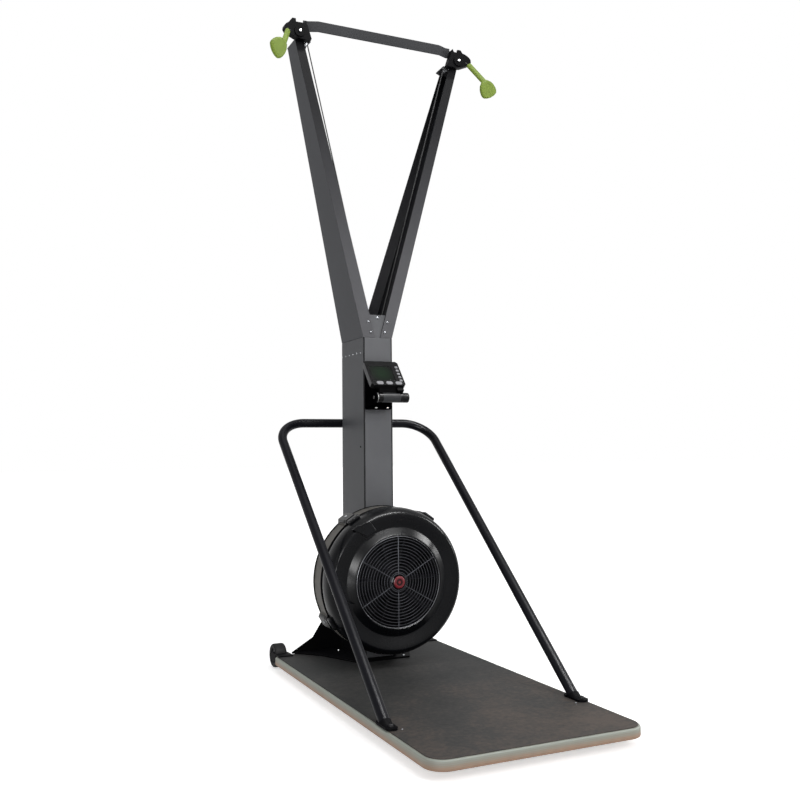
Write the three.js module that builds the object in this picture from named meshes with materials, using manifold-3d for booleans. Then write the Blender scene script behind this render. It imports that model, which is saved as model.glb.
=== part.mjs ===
// Ski trainer machine: a standing air-resistance trainer on a plywood platform.
// Millimetres, +Z up, the user stands on the -Y side and faces +Y, X = 0 is the mirror plane.
// Pieces are drawn with Y = 0 at the platform's front edge and Z = 0 on the floor, and the whole
// group is then moved so that the origin lies under the middle of the machine.
import * as THREE from 'three';
import { mergeVertices } from 'three/addons/utils/BufferGeometryUtils.js';
import Module from 'manifold-3d';

const wasm = await Module();
wasm.setup();

// Clearances and rounding shared by all pieces
const seat = 0.3;
const running = 0.5;
const overrun = 2;
const weld = 1e-4;
const sides = { fan: 44, wheel: 24, pulley: 18, tube: 14, cord: 8, pin: 8, arc: 4, slot: 6 };
const degree = Math.PI / 180;

// Platform
const board = { width: 610, length: 1185, thickness: 26.4, frontRadius: 52, rearRadius: 24, easing: 6 };
const foot = { height: 24, width: 40, sideInset: 95, setback: 120 };
const mat = { thickness: 2, inset: 6 };

// Column at the board's rear, and the base bracket round it
const column = { width: 106, depth: 197, setback: 5, wall: 3, top: 1124 };
const base = {
  plate: 5, frontHalf: 95, ahead: 30, flareHalf: 165, flareBehind: 122, rearInset: 64,
  cheekHeight: 95, shoulderHalf: 166, shoulderRise: 49, neckHalf: 139, neckRise: 91,
  topHalf: 62, topRise: 190,
};
const panel = { thickness: 3, sideGap: 0.8, axleHole: 30 };
const junction = {
  thickness: 3, halfWidth: 46, rise: 78, drop: 142, crotchHalf: 42, rivet: 4, rivetRise: 68,
};
const rivetShares = [[0.73, 0.78], [0.73, 0.27]];

// Arms: folded channels that taper, lean out and forward, and end below the strap. The three
// slopes are lengths across per length of rise.
const arm = {
  drop: 70, wall: 3, lean: 0.2565, forward: 0.0304, rearLean: 0.155, flangeLow: 44, flangeHigh: 30,
};
const strap = {
  height: 35.5, thickness: 4, top: 2158, ahead: 12.5, endInset: 28.3, bendInset: 44.3, straightInset: 76.3,
};

// Heads: body and fin are drawn round the bolt, as shares of the head's width and height
const head = {
  inset: 7.8, drop: 50, depth: 24, gap: 1.7, width: 96, height: 69.5, fin: 8,
  boss: 18, bossProud: 4, boltProud: 3, tunnel: 3.5,
};
const headShares = [
  [-0.43, -0.26], [-0.29, 0.32], [-0.22, 0.57], [-0.165, 0.43], [0.25, 0.42], [0.385, 0.345],
  [0.475, 0.26], [0.528, 0.17], [0.538, 0.04], [0.468, -0.115], [0.38, -0.165], [0.156, -0.3],
  [-0.047, -0.345], [-0.41, -0.35],
];
const finShares = [[0.057, 0.3], [0.078, 0.69], [0.203, 0.69], [0.474, 0.2], [0.39, 0.14]];
const headWheel = { groove: 13.7, flange: 15.6, halfWidth: 5.8, halfGroove: 3.6, bolt: 4 };
const guide = {
  inset: 29.5, drop: 22, behind: 14.3, groove: 7.2, flange: 9, halfWidth: 4.4, halfGroove: 3,
  pin: 3, pinProud: 2,
};

// Plate on each arm's top end, with a notch for the guide wheel
const wing = {
  plate: 3, reach: 54.3, notchReach: 50.3, notchOuter: 19.3, tipInset: 3, tipShare: 0.767,
  cornerReach: 21.3, rearPast: 3.4, cheek: 2.4, cheekHalf: 12, cheekDrop: 16,
};
const columnWheel = {
  groove: 10.7, flange: 13.6, halfWidth: 4.5, halfGroove: 2.6, highRise: 13, lowDrop: 121, stud: 4,
};
const cord = { radius: 2, stepAngle: 34, wrap: 330, pitch: 4.4, stubBack: 6, stubIn: 10, returnTurn: 240 };

// Handles: an oval stem with a fan-shaped paddle bent from it. Each side hangs its own way: the
// stem's direction and the paddle's are given as shares outward, along Y and up.
const handle = {
  stem: 96, stemRadius: 8, stemSpread: 1.28, paddle: 54.5, width: 62, thickness: 15, bevel: 5,
  bend: 35, bore: 2.6, mouthOut: 41, mouthDrop: 8.5, mouthAhead: 2, mouthCut: 12,
};
const handleShares = {
  left: { stem: [0.342, -0.61, -0.715], paddle: [0.704, -0.131, -0.698] },
  right: { stem: [0.381, -0.495, -0.775], paddle: [0.48, 0.091, -0.873] },
};
const paddleShares = [
  [0.16, -0.12], [0.36, 0.08], [0.46, 0.3], [0.5, 0.54], [0.49, 0.74], [0.42, 0.88], [0.22, 0.97],
];

// Fan: everything turns about an axis along Y. The cover's outline is given as shares of the
// fan's radius and of the cover's depth.
const fan = {
  axisZ: 324, radius: 234, wall: 3, gap: 5, depth: 67, back: 4, groove: 229, grooveWidth: 14,
  coverDepth: 70, hubOuter: 60, hubInner: 34,
};
const coverShares = [
  [1, 1], [1.0085, 0.757], [1, 0.5], [0.9786, 0.257], [0.9402, 0.1], [0.9145, 0.071],
  [0.738, 0.214], [0.641, 0.029], [0.6261, 0],
];
const grille = { thickness: 2, rings: 9, wire: 2, spokes: 6, hub: 25, rim: 4, arcSteps: 3, firstSpoke: 90 };
const centreCap = { radius: 22, thickness: 5, crown: 3 };
const lug = { half: 24, reach: 247, tipHalf: 16, chamfer: 11, rearAhead: 6, rearSetback: 3, coverDepth: 27 };
const lugAngles = [56, 123.5, 211, 331];
const flywheel = {
  radius: 198, rim: 18, rimDepth: 34, disc: 6, setback: 30, hub: 30, hubDepth: 68, vanes: 10, vane: 3,
  vaneDepth: 78, vaneStart: 60,
};
const damper = {
  radius: 230, wall: 4, frontGap: 9, leverReach: 248, leverHalf: 4, leverDepth: 6, start: -10, travel: 45,
  slotMargin: 2, windows: 4, windowHalf: 30, windowFront: 8, windowRear: 12,
};
const axle = { radius: 8, frontGap: 45, rearGap: 5 };
const bearing = { outer: 16, width: 10 };
const spool = { groove: 15, flange: 24, plate: 2, drive: 12, back: 7, setback: 13, gap: 3 };
const returnWheel = { halfWidth: 4.5, halfGroove: 2.6, z: 122, lip: 0.6, pin: 5, steps: 8 };

// Support rail
const rail = { radius: 15.2, sideInset: 17, bend: 100, bendSteps: 6, crossZ: 840, footY: 291 };
const railFoot = {
  plate: 6, ahead: 48, behind: 39, halfWidth: 16.5, corner: 14.8, screw: 5.5, screwRise: 4.8,
  socketWall: 2.5, socketRise: 12,
};
const clamp = { half: 34, plate: 5, height: 60, ring: 6 };

// Transport wheels
const wheel = { radius: 40, width: 42, sideInset: 32.5, behind: 52, axisZ: 41, bore: 6, easing: 4 };
const fork = { cheek: 3, gap: 1.2, end: 12, lip: 40, low: 26, boardGap: 3 };

// Monitor, drawn square to its own face and then leaned back about its tube
const monitor = {
  lean: 40.7, width: 123, height: 112, depth: 20, ahead: 56.7, drop: 123.6, corner: 7, bevel: 2,
  neckHalf: 30, neckDepth: 12,
};
const screen = { left: -51, right: 29, low: -33.5, high: 31, depth: 1.5 };
const tube = {
  radius: 16.5, left: -35, right: 73, ahead: 78, drop: 206.5, pin: 6, collar: 11, collarLeft: -40.5,
  capLeft: 62, capGap: 2, capStep: 1,
};
const holder = {
  half: 49, plate: 4, lowDrop: 242, highDrop: 126, arm: 8, eye: 19, armHighDrop: 139, armLowDrop: 238,
  lugHalf: 30, lugAhead: 39, lugDrop: 244,
};
const wideKey = {
  width: 24, height: 14, proud: 1.6, depth: 3, z: -46.4, pitch: 33.6, middle: 3.2, corner: 5,
};
const smallKey = {
  width: 11, height: 9, proud: 1.2, depth: 3, x: 49.2, top: 28, pitch: 15.5, count: 5, corner: 3,
};
const keyTravel = 1;

// Derived places: heights
const boardTop = foot.height + board.thickness;
const deckTop = boardTop + seat + mat.thickness;
const plateTop = deckTop + seat + base.plate;
const columnLow = plateTop + seat;
const armTop = strap.top - arm.drop;
const boltZ = strap.top - head.drop;

// Derived places: from the board's rear edge forward
const columnRear = board.length - column.setback;
const columnFront = columnRear - column.depth;
const columnHalf = column.width / 2;
const uprightFront = columnRear + seat;
const wheelY = board.length + wheel.behind;
const wheelRear = wheelY + Math.max(fork.end, wheel.radius);
const middleY = wheelRear / 2;
const crossY = columnRear + seat + clamp.plate + seat + rail.radius;
const railHalf = board.width / 2 - rail.sideInset;

// Derived places: fan and drive
const fanRear = columnFront - fan.gap;
const bandFront = fanRear - fan.depth;
const coverRear = bandFront - fan.grooveWidth;
const coverFront = coverRear - fan.coverDepth;
const flywheelRear = fanRear - flywheel.setback;
const damperFront = bandFront + damper.frontGap;
const damperRear = fanRear - fan.back - seat;
const damperMiddle = (damperFront + damperRear) / 2;
const cordRun = spool.groove + cord.radius + seat;
const spoolDepth = 3 * spool.plate + spool.drive + spool.back;
const cordShift = (cord.wrap / 360) * cord.pitch / 2;
const coverOutline = coverShares.map(([radiusShare, depthShare]) => [
  radiusShare * fan.radius, coverFront + depthShare * fan.coverDepth,
]);
const grilleRadius = coverOutline[coverOutline.length - 1][0] - seat;

// Derived places: heads, from the arm's own outer edge, front and rear at its top
const armRise = armTop - column.top;
const headX = columnHalf + arm.lean * armRise;
const armRear = columnRear - arm.rearLean * armRise;
const headRear = columnFront - arm.forward * armRise - head.gap;
const headFront = headRear - head.depth;
const headMiddle = headRear - head.depth / 2;
const boltX = headX - head.inset;
const guideX = boltX - guide.inset;
const guideY = headRear + guide.behind;
const guideZ = boltZ - guide.drop;

// Derived places: monitor
const tubeY = columnFront - tube.ahead;
const tubeZ = column.top - tube.drop;

// Finishes
const finish = (color, roughness, metalness = 0) =>
  new THREE.MeshStandardMaterial({ color, roughness, metalness });
const materials = {
  plywood: finish('#b39b7c', 0.55),
  grip: finish('#434240', 0.85),
  rubber: finish('#1b1b1d', 0.9),
  blackSteel: finish('#141416', 0.5, 0.3),
  greyCoat: finish('#55565a', 0.5, 0.4),
  panelCoat: finish('#6b6c6f', 0.45, 0.4),
  railCoat: finish('#34343a', 0.4, 0.4),
  gloss: finish('#0e0f12', 0.25),
  bandGrey: finish('#4a4b4d', 0.6),
  lime: finish('#8ba33e', 0.5),
  steel: finish('#b9bbbe', 0.3, 0.9),
  cap: finish('#9b2f38', 0.4),
  cord: finish('#1a1a1a', 0.8),
  display: finish('#1e3223', 0.15),
  key: finish('#9a9a9d', 0.5),
  caseGrey: finish('#3c3d40', 0.5),
};

// Geometry helpers
function toSolid(geometry) {
  const bare = new THREE.BufferGeometry();
  bare.setAttribute('position', geometry.getAttribute('position').clone());
  if (geometry.index) {
    bare.setIndex(geometry.index.clone());
  }
  const merged = mergeVertices(bare, weld);
  return new wasm.Manifold(new wasm.Mesh({
    numProp: 3,
    vertProperties: Float32Array.from(merged.getAttribute('position').array),
    triVerts: Uint32Array.from(merged.index.array),
  }));
}

function toGeometry(solid) {
  const mesh = solid.getMesh();
  const geometry = new THREE.BufferGeometry();
  geometry.setAttribute('position', new THREE.BufferAttribute(Float32Array.from(mesh.vertProperties), 3));
  geometry.setIndex(new THREE.BufferAttribute(Uint32Array.from(mesh.triVerts), 1));
  geometry.computeVertexNormals();
  return geometry;
}

const join = (first, ...others) =>
  toGeometry(others.reduce((sum, other) => sum.add(toSolid(other)), toSolid(first)));
const cut = (first, ...others) =>
  toGeometry(others.reduce((rest, other) => rest.subtract(toSolid(other)), toSolid(first)));

// Block between two opposite corners
function block(low, high) {
  const [dx, dy, dz] = high.map((value, axisIndex) => value - low[axisIndex]);
  const centre = high.map((value, axisIndex) => (value + low[axisIndex]) / 2);
  return new THREE.BoxGeometry(dx, dy, dz).translate(...centre);
}

// Flat outline pushed along one axis, from one place to another
const outlineBases = {
  x: [[0, 1, 0], [0, 0, 1], [1, 0, 0]],
  y: [[1, 0, 0], [0, 0, 1], [0, -1, 0]],
  z: [[1, 0, 0], [0, 1, 0], [0, 0, 1]],
};

function placeOutline(geometry, axis, from, to) {
  const [u, v, w] = outlineBases[axis].map((values) => new THREE.Vector3(...values));
  geometry.applyMatrix4(new THREE.Matrix4().makeBasis(u, v, w));
  const start = axis === 'y' ? to : from;
  return geometry.translate(axis === 'x' ? start : 0, axis === 'y' ? start : 0, axis === 'z' ? start : 0);
}

function slab(outline, axis, from, to, bevel = 0) {
  const shape = outline instanceof THREE.Shape
    ? outline
    : new THREE.Shape(outline.map(([u, v]) => new THREE.Vector2(u, v)));
  const settings = { depth: to - from - 2 * bevel, bevelEnabled: bevel > 0, curveSegments: sides.arc };
  if (bevel > 0) {
    const rounding = { bevelSize: bevel, bevelThickness: bevel, bevelSegments: 2, bevelOffset: -bevel };
    Object.assign(settings, rounding);
  }
  const geometry = new THREE.ExtrudeGeometry(shape, settings).translate(0, 0, bevel);
  return placeOutline(geometry, axis, from, to);
}

// Ring profile of [radius, place along the axis] points turned about an axis
function turned(profile, axis, count, centre = [0, 0, 0]) {
  const points = profile.map(([radius, along]) => new THREE.Vector2(radius, along));
  const onAxis = profile[0][0] === 0 && profile[profile.length - 1][0] === 0;
  if (!onAxis) {
    points.push(points[0].clone());
  }
  const geometry = new THREE.LatheGeometry(points, count);
  if (signedVolume(geometry) < 0) {
    flip(geometry);
  }
  if (axis === 'x') {
    geometry.rotateZ(-Math.PI / 2);
  }
  if (axis === 'z') {
    geometry.rotateX(Math.PI / 2);
  }
  return geometry.translate(...centre);
}

function signedVolume(geometry) {
  const place = geometry.getAttribute('position');
  const index = geometry.index.array;
  const [a, b, c] = [new THREE.Vector3(), new THREE.Vector3(), new THREE.Vector3()];
  let total = 0;
  for (let i = 0; i < index.length; i += 3) {
    a.fromBufferAttribute(place, index[i]);
    b.fromBufferAttribute(place, index[i + 1]);
    c.fromBufferAttribute(place, index[i + 2]);
    total += a.dot(b.cross(c));
  }
  return total;
}

function flip(geometry) {
  const index = geometry.index.array;
  for (let i = 0; i < index.length; i += 3) {
    [index[i + 1], index[i + 2]] = [index[i + 2], index[i + 1]];
  }
}

const rod = (radius, from, to, axis, count, centre) =>
  turned([[0, from], [radius, from], [radius, to], [0, to]], axis, count, centre);

const ring = (inner, outer, from, to, axis, count, centre) =>
  turned([[inner, from], [outer, from], [outer, to], [inner, to]], axis, count, centre);

// Straight-sided solid between two four-cornered sections
function loft(lower, upper) {
  const geometry = new THREE.BufferGeometry();
  const corners = [...lower, ...upper].flat();
  geometry.setAttribute('position', new THREE.BufferAttribute(Float32Array.from(corners), 3));
  const faces = [0, 2, 1, 0, 3, 2, 4, 5, 6, 4, 6, 7];
  for (let k = 0; k < lower.length; k += 1) {
    const next = (k + 1) % lower.length;
    faces.push(k, next, lower.length + next, k, lower.length + next, lower.length + k);
  }
  geometry.setIndex(faces);
  if (signedVolume(geometry) < 0) {
    flip(geometry);
  }
  return geometry;
}

// Route whose steps fall on its own points
class Route extends THREE.Curve {
  constructor(points) {
    super();
    this.points = points;
  }

  getUtoTmapping(u) {
    return u;
  }

  getPoint(t, target = new THREE.Vector3()) {
    const along = Math.min(Math.max(t, 0), 1) * (this.points.length - 1);
    const first = Math.min(Math.floor(along), this.points.length - 2);
    return target.copy(this.points[first]).lerp(this.points[first + 1], along - first);
  }
}

function sweep(points, radius, count) {
  const section = new THREE.Shape();
  for (let k = 0; k < count; k += 1) {
    const angle = (2 * Math.PI * k) / count;
    const [u, v] = [radius * Math.cos(angle), radius * Math.sin(angle)];
    if (k === 0) {
      section.moveTo(u, v);
    } else {
      section.lineTo(u, v);
    }
  }
  const extrudePath = new Route(points);
  return new THREE.ExtrudeGeometry(section, { steps: points.length - 1, extrudePath, curveSegments: 1 });
}

// Corner points with each inner corner rounded to a radius
function rounded(corners, radius, stepCount) {
  const points = [corners[0].clone()];
  for (let k = 1; k < corners.length - 1; k += 1) {
    const before = corners[k - 1].clone().sub(corners[k]).normalize();
    const after = corners[k + 1].clone().sub(corners[k]).normalize();
    const half = before.angleTo(after) / 2;
    const reach = radius / Math.tan(half);
    const inward = before.clone().add(after).normalize();
    const centre = corners[k].clone().addScaledVector(inward, radius / Math.sin(half));
    const start = corners[k].clone().addScaledVector(before, reach).sub(centre);
    const end = corners[k].clone().addScaledVector(after, reach).sub(centre);
    const normal = start.clone().cross(end).normalize();
    const turn = Math.PI - 2 * half;
    for (let step = 0; step <= stepCount; step += 1) {
      points.push(start.clone().applyAxisAngle(normal, (turn * step) / stepCount).add(centre));
    }
  }
  points.push(corners[corners.length - 1].clone());
  return points;
}

// Arc of points in the XZ plane, angles from +X towards +Z
function arcPoints(centreX, y, centreZ, radius, from, to, stepCount) {
  return Array.from({ length: stepCount + 1 }, (unused, step) => {
    const angle = (from + ((to - from) * step) / stepCount) * degree;
    return new THREE.Vector3(centreX + radius * Math.cos(angle), y, centreZ + radius * Math.sin(angle));
  });
}

// Rectangle with rounded corners, as a shape
function roundedRectangle(left, low, right, high, radius) {
  const shape = new THREE.Shape();
  shape.moveTo(left + radius, low);
  shape.lineTo(right - radius, low);
  shape.absarc(right - radius, low + radius, radius, -Math.PI / 2, 0, false);
  shape.lineTo(right, high - radius);
  shape.absarc(right - radius, high - radius, radius, 0, Math.PI / 2, false);
  shape.lineTo(left + radius, high);
  shape.absarc(left + radius, high - radius, radius, Math.PI / 2, Math.PI, false);
  shape.lineTo(left, low + radius);
  shape.absarc(left + radius, low + radius, radius, Math.PI, 1.5 * Math.PI, false);
  return shape;
}

const machine = new THREE.Group();
machine.position.y = -middleY;

function add(name, geometry, material, parent = machine) {
  const mesh = new THREE.Mesh(geometry, material);
  mesh.name = name;
  parent.add(mesh);
  return mesh;
}

const sideNames = [['left', -1], ['right', 1]];

// Platform: plywood board, grip sheet, rubber strips
function boardOutline(inset) {
  const half = board.width / 2 - inset;
  const [low, high] = [inset, board.length - inset];
  const [front, rear] = [board.frontRadius - inset, board.rearRadius - inset];
  const shape = new THREE.Shape();
  shape.moveTo(-half + front, low);
  shape.lineTo(half - front, low);
  shape.absarc(half - front, low + front, front, -Math.PI / 2, 0, false);
  shape.lineTo(half, high - rear);
  shape.absarc(half - rear, high - rear, rear, 0, Math.PI / 2, false);
  shape.lineTo(-half + rear, high);
  shape.absarc(-half + rear, high - rear, rear, Math.PI / 2, Math.PI, false);
  shape.lineTo(-half, low + front);
  shape.absarc(-half + front, low + front, front, Math.PI, 1.5 * Math.PI, false);
  return shape;
}

function buildPlatform() {
  const wood = slab(boardOutline(0), 'z', foot.height, boardTop, board.easing);
  add('platform_board', wood, materials.plywood);
  const sheet = slab(boardOutline(mat.inset), 'z', boardTop + seat, deckTop);
  add('platform_grip_mat', sheet, materials.grip);
  const footHalf = board.width / 2 - foot.sideInset;
  const places = [['front', foot.setback], ['rear', board.length - foot.setback - foot.width]];
  for (const [where, y] of places) {
    const strip = block([-footHalf, y, 0], [footHalf, y + foot.width, foot.height - seat]);
    add(`foot_strip_${where}`, strip, materials.rubber);
  }
}

// Base bracket: flared floor plate, cheeks beside the column and an upright plate behind it
function buildBase() {
  const low = deckTop + seat;
  const rear = uprightFront + base.plate;
  const front = columnFront - base.ahead;
  const flareAt = columnFront + base.flareBehind;
  const rearHalf = board.width / 2 - base.rearInset;
  const floorOutline = [
    [-base.frontHalf, front], [base.frontHalf, front], [base.flareHalf, flareAt],
    [rearHalf, rear], [-rearHalf, rear], [-base.flareHalf, flareAt],
  ];
  const uprightOutline = [
    [-rearHalf, low], [rearHalf, low], [rearHalf, low + base.plate],
    [base.shoulderHalf, low + base.shoulderRise], [base.neckHalf, low + base.neckRise],
    [base.topHalf, low + base.topRise], [-base.topHalf, low + base.topRise],
    [-base.neckHalf, low + base.neckRise], [-base.shoulderHalf, low + base.shoulderRise],
    [-rearHalf, low + base.plate],
  ];
  const inner = columnHalf + seat;
  const cheekOutline = [
    [columnFront, low], [rear, low], [rear, low + base.topRise],
    [uprightFront - base.plate, low + base.topRise], [columnFront, low + base.cheekHeight],
  ];
  const cheeks = sideNames.map(([, side]) => {
    const ends = [side * inner, side * (inner + base.plate)];
    return slab(cheekOutline, 'x', Math.min(...ends), Math.max(...ends));
  });
  const frame = join(
    slab(floorOutline, 'z', low, plateTop),
    slab(uprightOutline, 'y', uprightFront, rear),
    ...cheeks,
  );
  add('base_frame', frame, materials.blackSteel);
}

// Places of the two spools' grooves along the axle
function spoolPlaces() {
  const first = columnFront + spool.setback;
  const starts = [first, first + spoolDepth + spool.gap];
  const drives = starts.map((start) => start + spool.plate + spool.drive / 2);
  const returns = starts.map((start) => start + 2 * spool.plate + spool.drive + spool.back / 2);
  return { starts, drives, returns, returnMiddle: (returns[0] + returns[1]) / 2 };
}

// Column: folded body open at the front, with a hub for the rear bearing, and its front panel
function buildColumn() {
  const outer = block([-columnHalf, columnFront, columnLow], [columnHalf, columnRear, column.top]);
  const inner = block(
    [-columnHalf + column.wall, columnFront - overrun, columnLow - overrun],
    [columnHalf - column.wall, columnRear - column.wall, column.top + overrun],
  );
  const hubLength = bearing.width + column.wall;
  const returnY = spoolPlaces().returnMiddle;
  const hubInner = bearing.outer + seat;
  const hub = ring(
    hubInner, hubInner + column.wall, columnRear - column.wall - hubLength, columnRear - column.wall,
    'y', sides.pulley, [0, 0, fan.axisZ],
  );
  const pinHalf = columnHalf - column.wall / 2;
  const returnPin = rod(returnWheel.pin, -pinHalf, pinHalf, 'x', sides.pin, [0, returnY, returnWheel.z]);
  add('column_body', join(cut(outer, inner), hub, returnPin), materials.greyCoat);

  const half = columnHalf - column.wall - panel.sideGap;
  const face = block([-half, columnFront, columnLow], [half, columnFront + panel.thickness, column.top]);
  const hole = rod(
    panel.axleHole, columnFront - overrun, columnFront + panel.thickness + overrun,
    'y', sides.pulley, [0, 0, fan.axisZ],
  );
  add('column_front_panel', cut(face, hole), materials.panelCoat);
}

// Arm section at a height, as corner points of the outer channel shape
function armCorners(side, z, inset, flange) {
  const rise = z - column.top;
  const outer = columnHalf + arm.lean * rise - inset;
  const inner = columnHalf + arm.lean * rise - flange;
  const front = columnFront - arm.forward * rise + inset;
  const rear = columnRear - arm.rearLean * rise - inset;
  return [
    [side * outer, front, z], [side * outer, rear, z], [side * inner, rear, z], [side * inner, front, z],
  ];
}

function buildArm(name, side) {
  const low = column.top + seat;
  const outer = loft(armCorners(side, low, 0, arm.flangeLow), armCorners(side, armTop, 0, arm.flangeHigh));
  const past = arm.flangeLow + overrun;
  const hollow = loft(
    armCorners(side, low - overrun, arm.wall, past), armCorners(side, armTop + overrun, arm.wall, past),
  );
  const rivets = rivetShares.map(([acrossShare, upShare]) => {
    const z = low + upShare * junction.rivetRise;
    const front = columnFront - arm.forward * (z - column.top);
    const x = side * (columnHalf + arm.lean * (z - column.top) - arm.flangeLow * acrossShare);
    return rod(junction.rivet, front - junction.rivet / 2, front + arm.wall / 2, 'y', sides.pin, [x, 0, z]);
  });
  add(`arm_${name}`, join(cut(outer, hollow), ...rivets), materials.greyCoat);
}

// Plate behind the arms' front flanges and the panel, which ties the three together and carries
// the studs of the two column wheels
function buildJunction() {
  const back = columnFront + Math.max(arm.wall, panel.thickness) + seat;
  const outline = [
    [-junction.halfWidth, column.top - junction.drop], [junction.halfWidth, column.top - junction.drop],
    [junction.halfWidth, column.top], [junction.crotchHalf, column.top + junction.rise],
    [-junction.crotchHalf, column.top + junction.rise], [-junction.halfWidth, column.top],
  ];
  const plate = slab(outline, 'y', back, back + junction.thickness);
  const rivet = rod(
    junction.rivet, back - junction.rivet / 2, back + junction.thickness / 2,
    'y', sides.pin, [0, 0, column.top + junction.rivetRise],
  );
  const studs = columnWheelPlaces().map(({ x, y, z }) => rod(
    columnWheel.stud, back + junction.thickness / 2, y + columnWheel.halfWidth + overrun,
    'y', sides.pin, [x, 0, z],
  ));
  add('junction_plate', join(plate, rivet, ...studs), materials.greyCoat);
}

// Support rail: one tube, crossbar behind the column and a sloping leg each side
function buildRail() {
  const footZ = deckTop;
  const toe = deckTop + seat;
  const slope = new THREE.Vector3(0, rail.footY - crossY, footZ - rail.crossZ).normalize();
  const upright = slope.clone().negate();
  const reach = rail.radius * 2;
  const footPoint = (side) => new THREE.Vector3(side * railHalf, rail.footY, footZ);
  const corners = [
    footPoint(-1).addScaledVector(slope, reach), new THREE.Vector3(-railHalf, crossY, rail.crossZ),
    new THREE.Vector3(railHalf, crossY, rail.crossZ), footPoint(1).addScaledVector(slope, reach),
  ];
  const bar = sweep(rounded(corners, rail.bend, rail.bendSteps), rail.radius, sides.tube);
  const padTop = toe + railFoot.plate + seat;
  const floorCut = block([-board.width, -board.length, -board.length], [board.width, board.length, padTop]);
  add('support_rail', cut(bar, floorCut), materials.railCoat);

  for (const [name, side] of sideNames) {
    const x = side * railHalf;
    const front = rail.footY - railFoot.ahead;
    const bed = roundedRectangle(
      x - railFoot.halfWidth, front, x + railFoot.halfWidth, rail.footY + railFoot.behind, railFoot.corner,
    );
    const plate = slab(bed, 'z', toe, toe + railFoot.plate);
    const screw = rod(
      railFoot.screw, toe, toe + railFoot.plate + railFoot.screwRise, 'z', sides.pin,
      [x, front + railFoot.halfWidth, 0],
    );
    const from = footPoint(side).addScaledVector(upright, -reach);
    const to = footPoint(side).addScaledVector(upright, railFoot.socketRise);
    const outer = sweep([from, to], rail.radius + railFoot.socketWall, sides.tube);
    const bore = sweep([
      from.clone().addScaledVector(upright, -reach), to.clone().addScaledVector(upright, reach),
    ], rail.radius + seat, sides.tube);
    const trimmed = cut(
      outer, bore,
      block([x - reach * 2, 0, -board.length], [x + reach * 2, board.length, toe + railFoot.plate / 2]),
    );
    add(`rail_foot_${name}`, join(plate, screw, trimmed), materials.blackSteel);
  }

  const back = columnRear + seat;
  const saddle = block(
    [-clamp.half, back, rail.crossZ - clamp.height / 2],
    [clamp.half, back + clamp.plate, rail.crossZ + clamp.height / 2],
  );
  const yoke = block(
    [-clamp.half, back, rail.crossZ - rail.radius - clamp.ring],
    [clamp.half, crossY + rail.radius + clamp.ring, rail.crossZ + rail.radius + clamp.ring],
  );
  const past = clamp.half + overrun;
  const hole = rod(rail.radius + seat, -past, past, 'x', sides.fan, [0, crossY, rail.crossZ]);
  add('rail_clamp', cut(join(saddle, yoke), hole), materials.blackSteel);
}

// Transport wheels behind the board's rear corners
function buildWheels() {
  const low = deckTop + seat;
  const front = board.length + fork.boardGap;
  const cheekOutline = [
    [front, fork.low], [wheelY, wheel.axisZ - fork.end], [wheelY + fork.end, wheel.axisZ - fork.end / 2],
    [wheelY + fork.end, wheel.axisZ + fork.end / 2], [wheelY, wheel.axisZ + fork.end],
    [front, low + fork.cheek],
  ];
  for (const [name, side] of sideNames) {
    const x = side * (board.width / 2 - wheel.sideInset);
    const half = wheel.width / 2;
    const shoulder = wheel.radius - wheel.easing;
    const profile = [
      [wheel.bore + seat, -half], [shoulder, -half], [wheel.radius, -half + wheel.easing],
      [wheel.radius, half - wheel.easing], [shoulder, half], [wheel.bore + seat, half],
    ];
    add(`wheel_${name}`, turned(profile, 'x', sides.wheel, [x, wheelY, wheel.axisZ]), materials.rubber);
    const inner = half + fork.gap;
    const outer = inner + fork.cheek;
    const cheeks = [[-outer, -inner], [inner, outer]].map(
      ([from, to]) => slab(cheekOutline, 'x', x + from, x + to),
    );
    const lip = block([x - outer, front - fork.lip, low], [x + outer, front + fork.cheek, low + fork.cheek]);
    const web = block([x - outer, front, fork.low], [x + outer, front + fork.cheek, low + fork.cheek]);
    const pin = rod(wheel.bore, -outer, outer, 'x', sides.pin, [x, wheelY, wheel.axisZ]);
    add(`wheel_fork_${name}`, join(web, ...cheeks, lip, pin), materials.blackSteel);
  }
}

// Points round a circle in an XZ plane, by an angle in degrees. The points between the ends lie
// a little further out, so that the straight steps touch the circle and don't cut it.
function circlePoints(x, y, z, radius, from, turn) {
  const stepCount = Math.max(1, Math.ceil(Math.abs(turn) / cord.stepAngle));
  const bulge = 1 / Math.cos((turn * degree) / stepCount / 2);
  const points = arcPoints(x, y, z, radius, from, from + turn, stepCount);
  const outer = arcPoints(x, y, z, radius * bulge, from, from + turn, stepCount);
  return points.map((point, step) => (step === 0 || step === stepCount ? point : outer[step]));
}

// Cord path over wheels that stand in XZ planes. Each stop has its centre, the radius of the
// cord's middle line, the sense of turn (1 is from +X to +Z) and, at the end, a turn of its own.
function cordPath(stops) {
  const headings = stops.slice(1).map((next, k) => {
    const from = stops[k];
    const [dx, dz] = [next.x - from.x, next.z - from.z];
    const shift = next.sense * next.radius - from.sense * from.radius;
    return (Math.atan2(dz, dx) - Math.asin(shift / Math.hypot(dx, dz))) / degree;
  });
  const points = [];
  stops.forEach((stop, k) => {
    if (stop.radius === 0) {
      points.push(new THREE.Vector3(stop.x, stop.y, stop.z));
      return;
    }
    const arriving = headings[k - 1];
    const leaving = headings[k];
    const swing = leaving === undefined
      ? stop.turn
      : (((stop.sense * (leaving - arriving)) % 360) + 360) % 360;
    const turn = stop.sense * swing;
    const arc = circlePoints(stop.x, stop.y, stop.z, stop.radius, arriving - stop.sense * 90, turn);
    const slide = stop.slide ?? 0;
    arc.forEach((point, step) => {
      point.y += (slide * step) / (arc.length - 1);
      points.push(point);
    });
  });
  return points;
}

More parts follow.
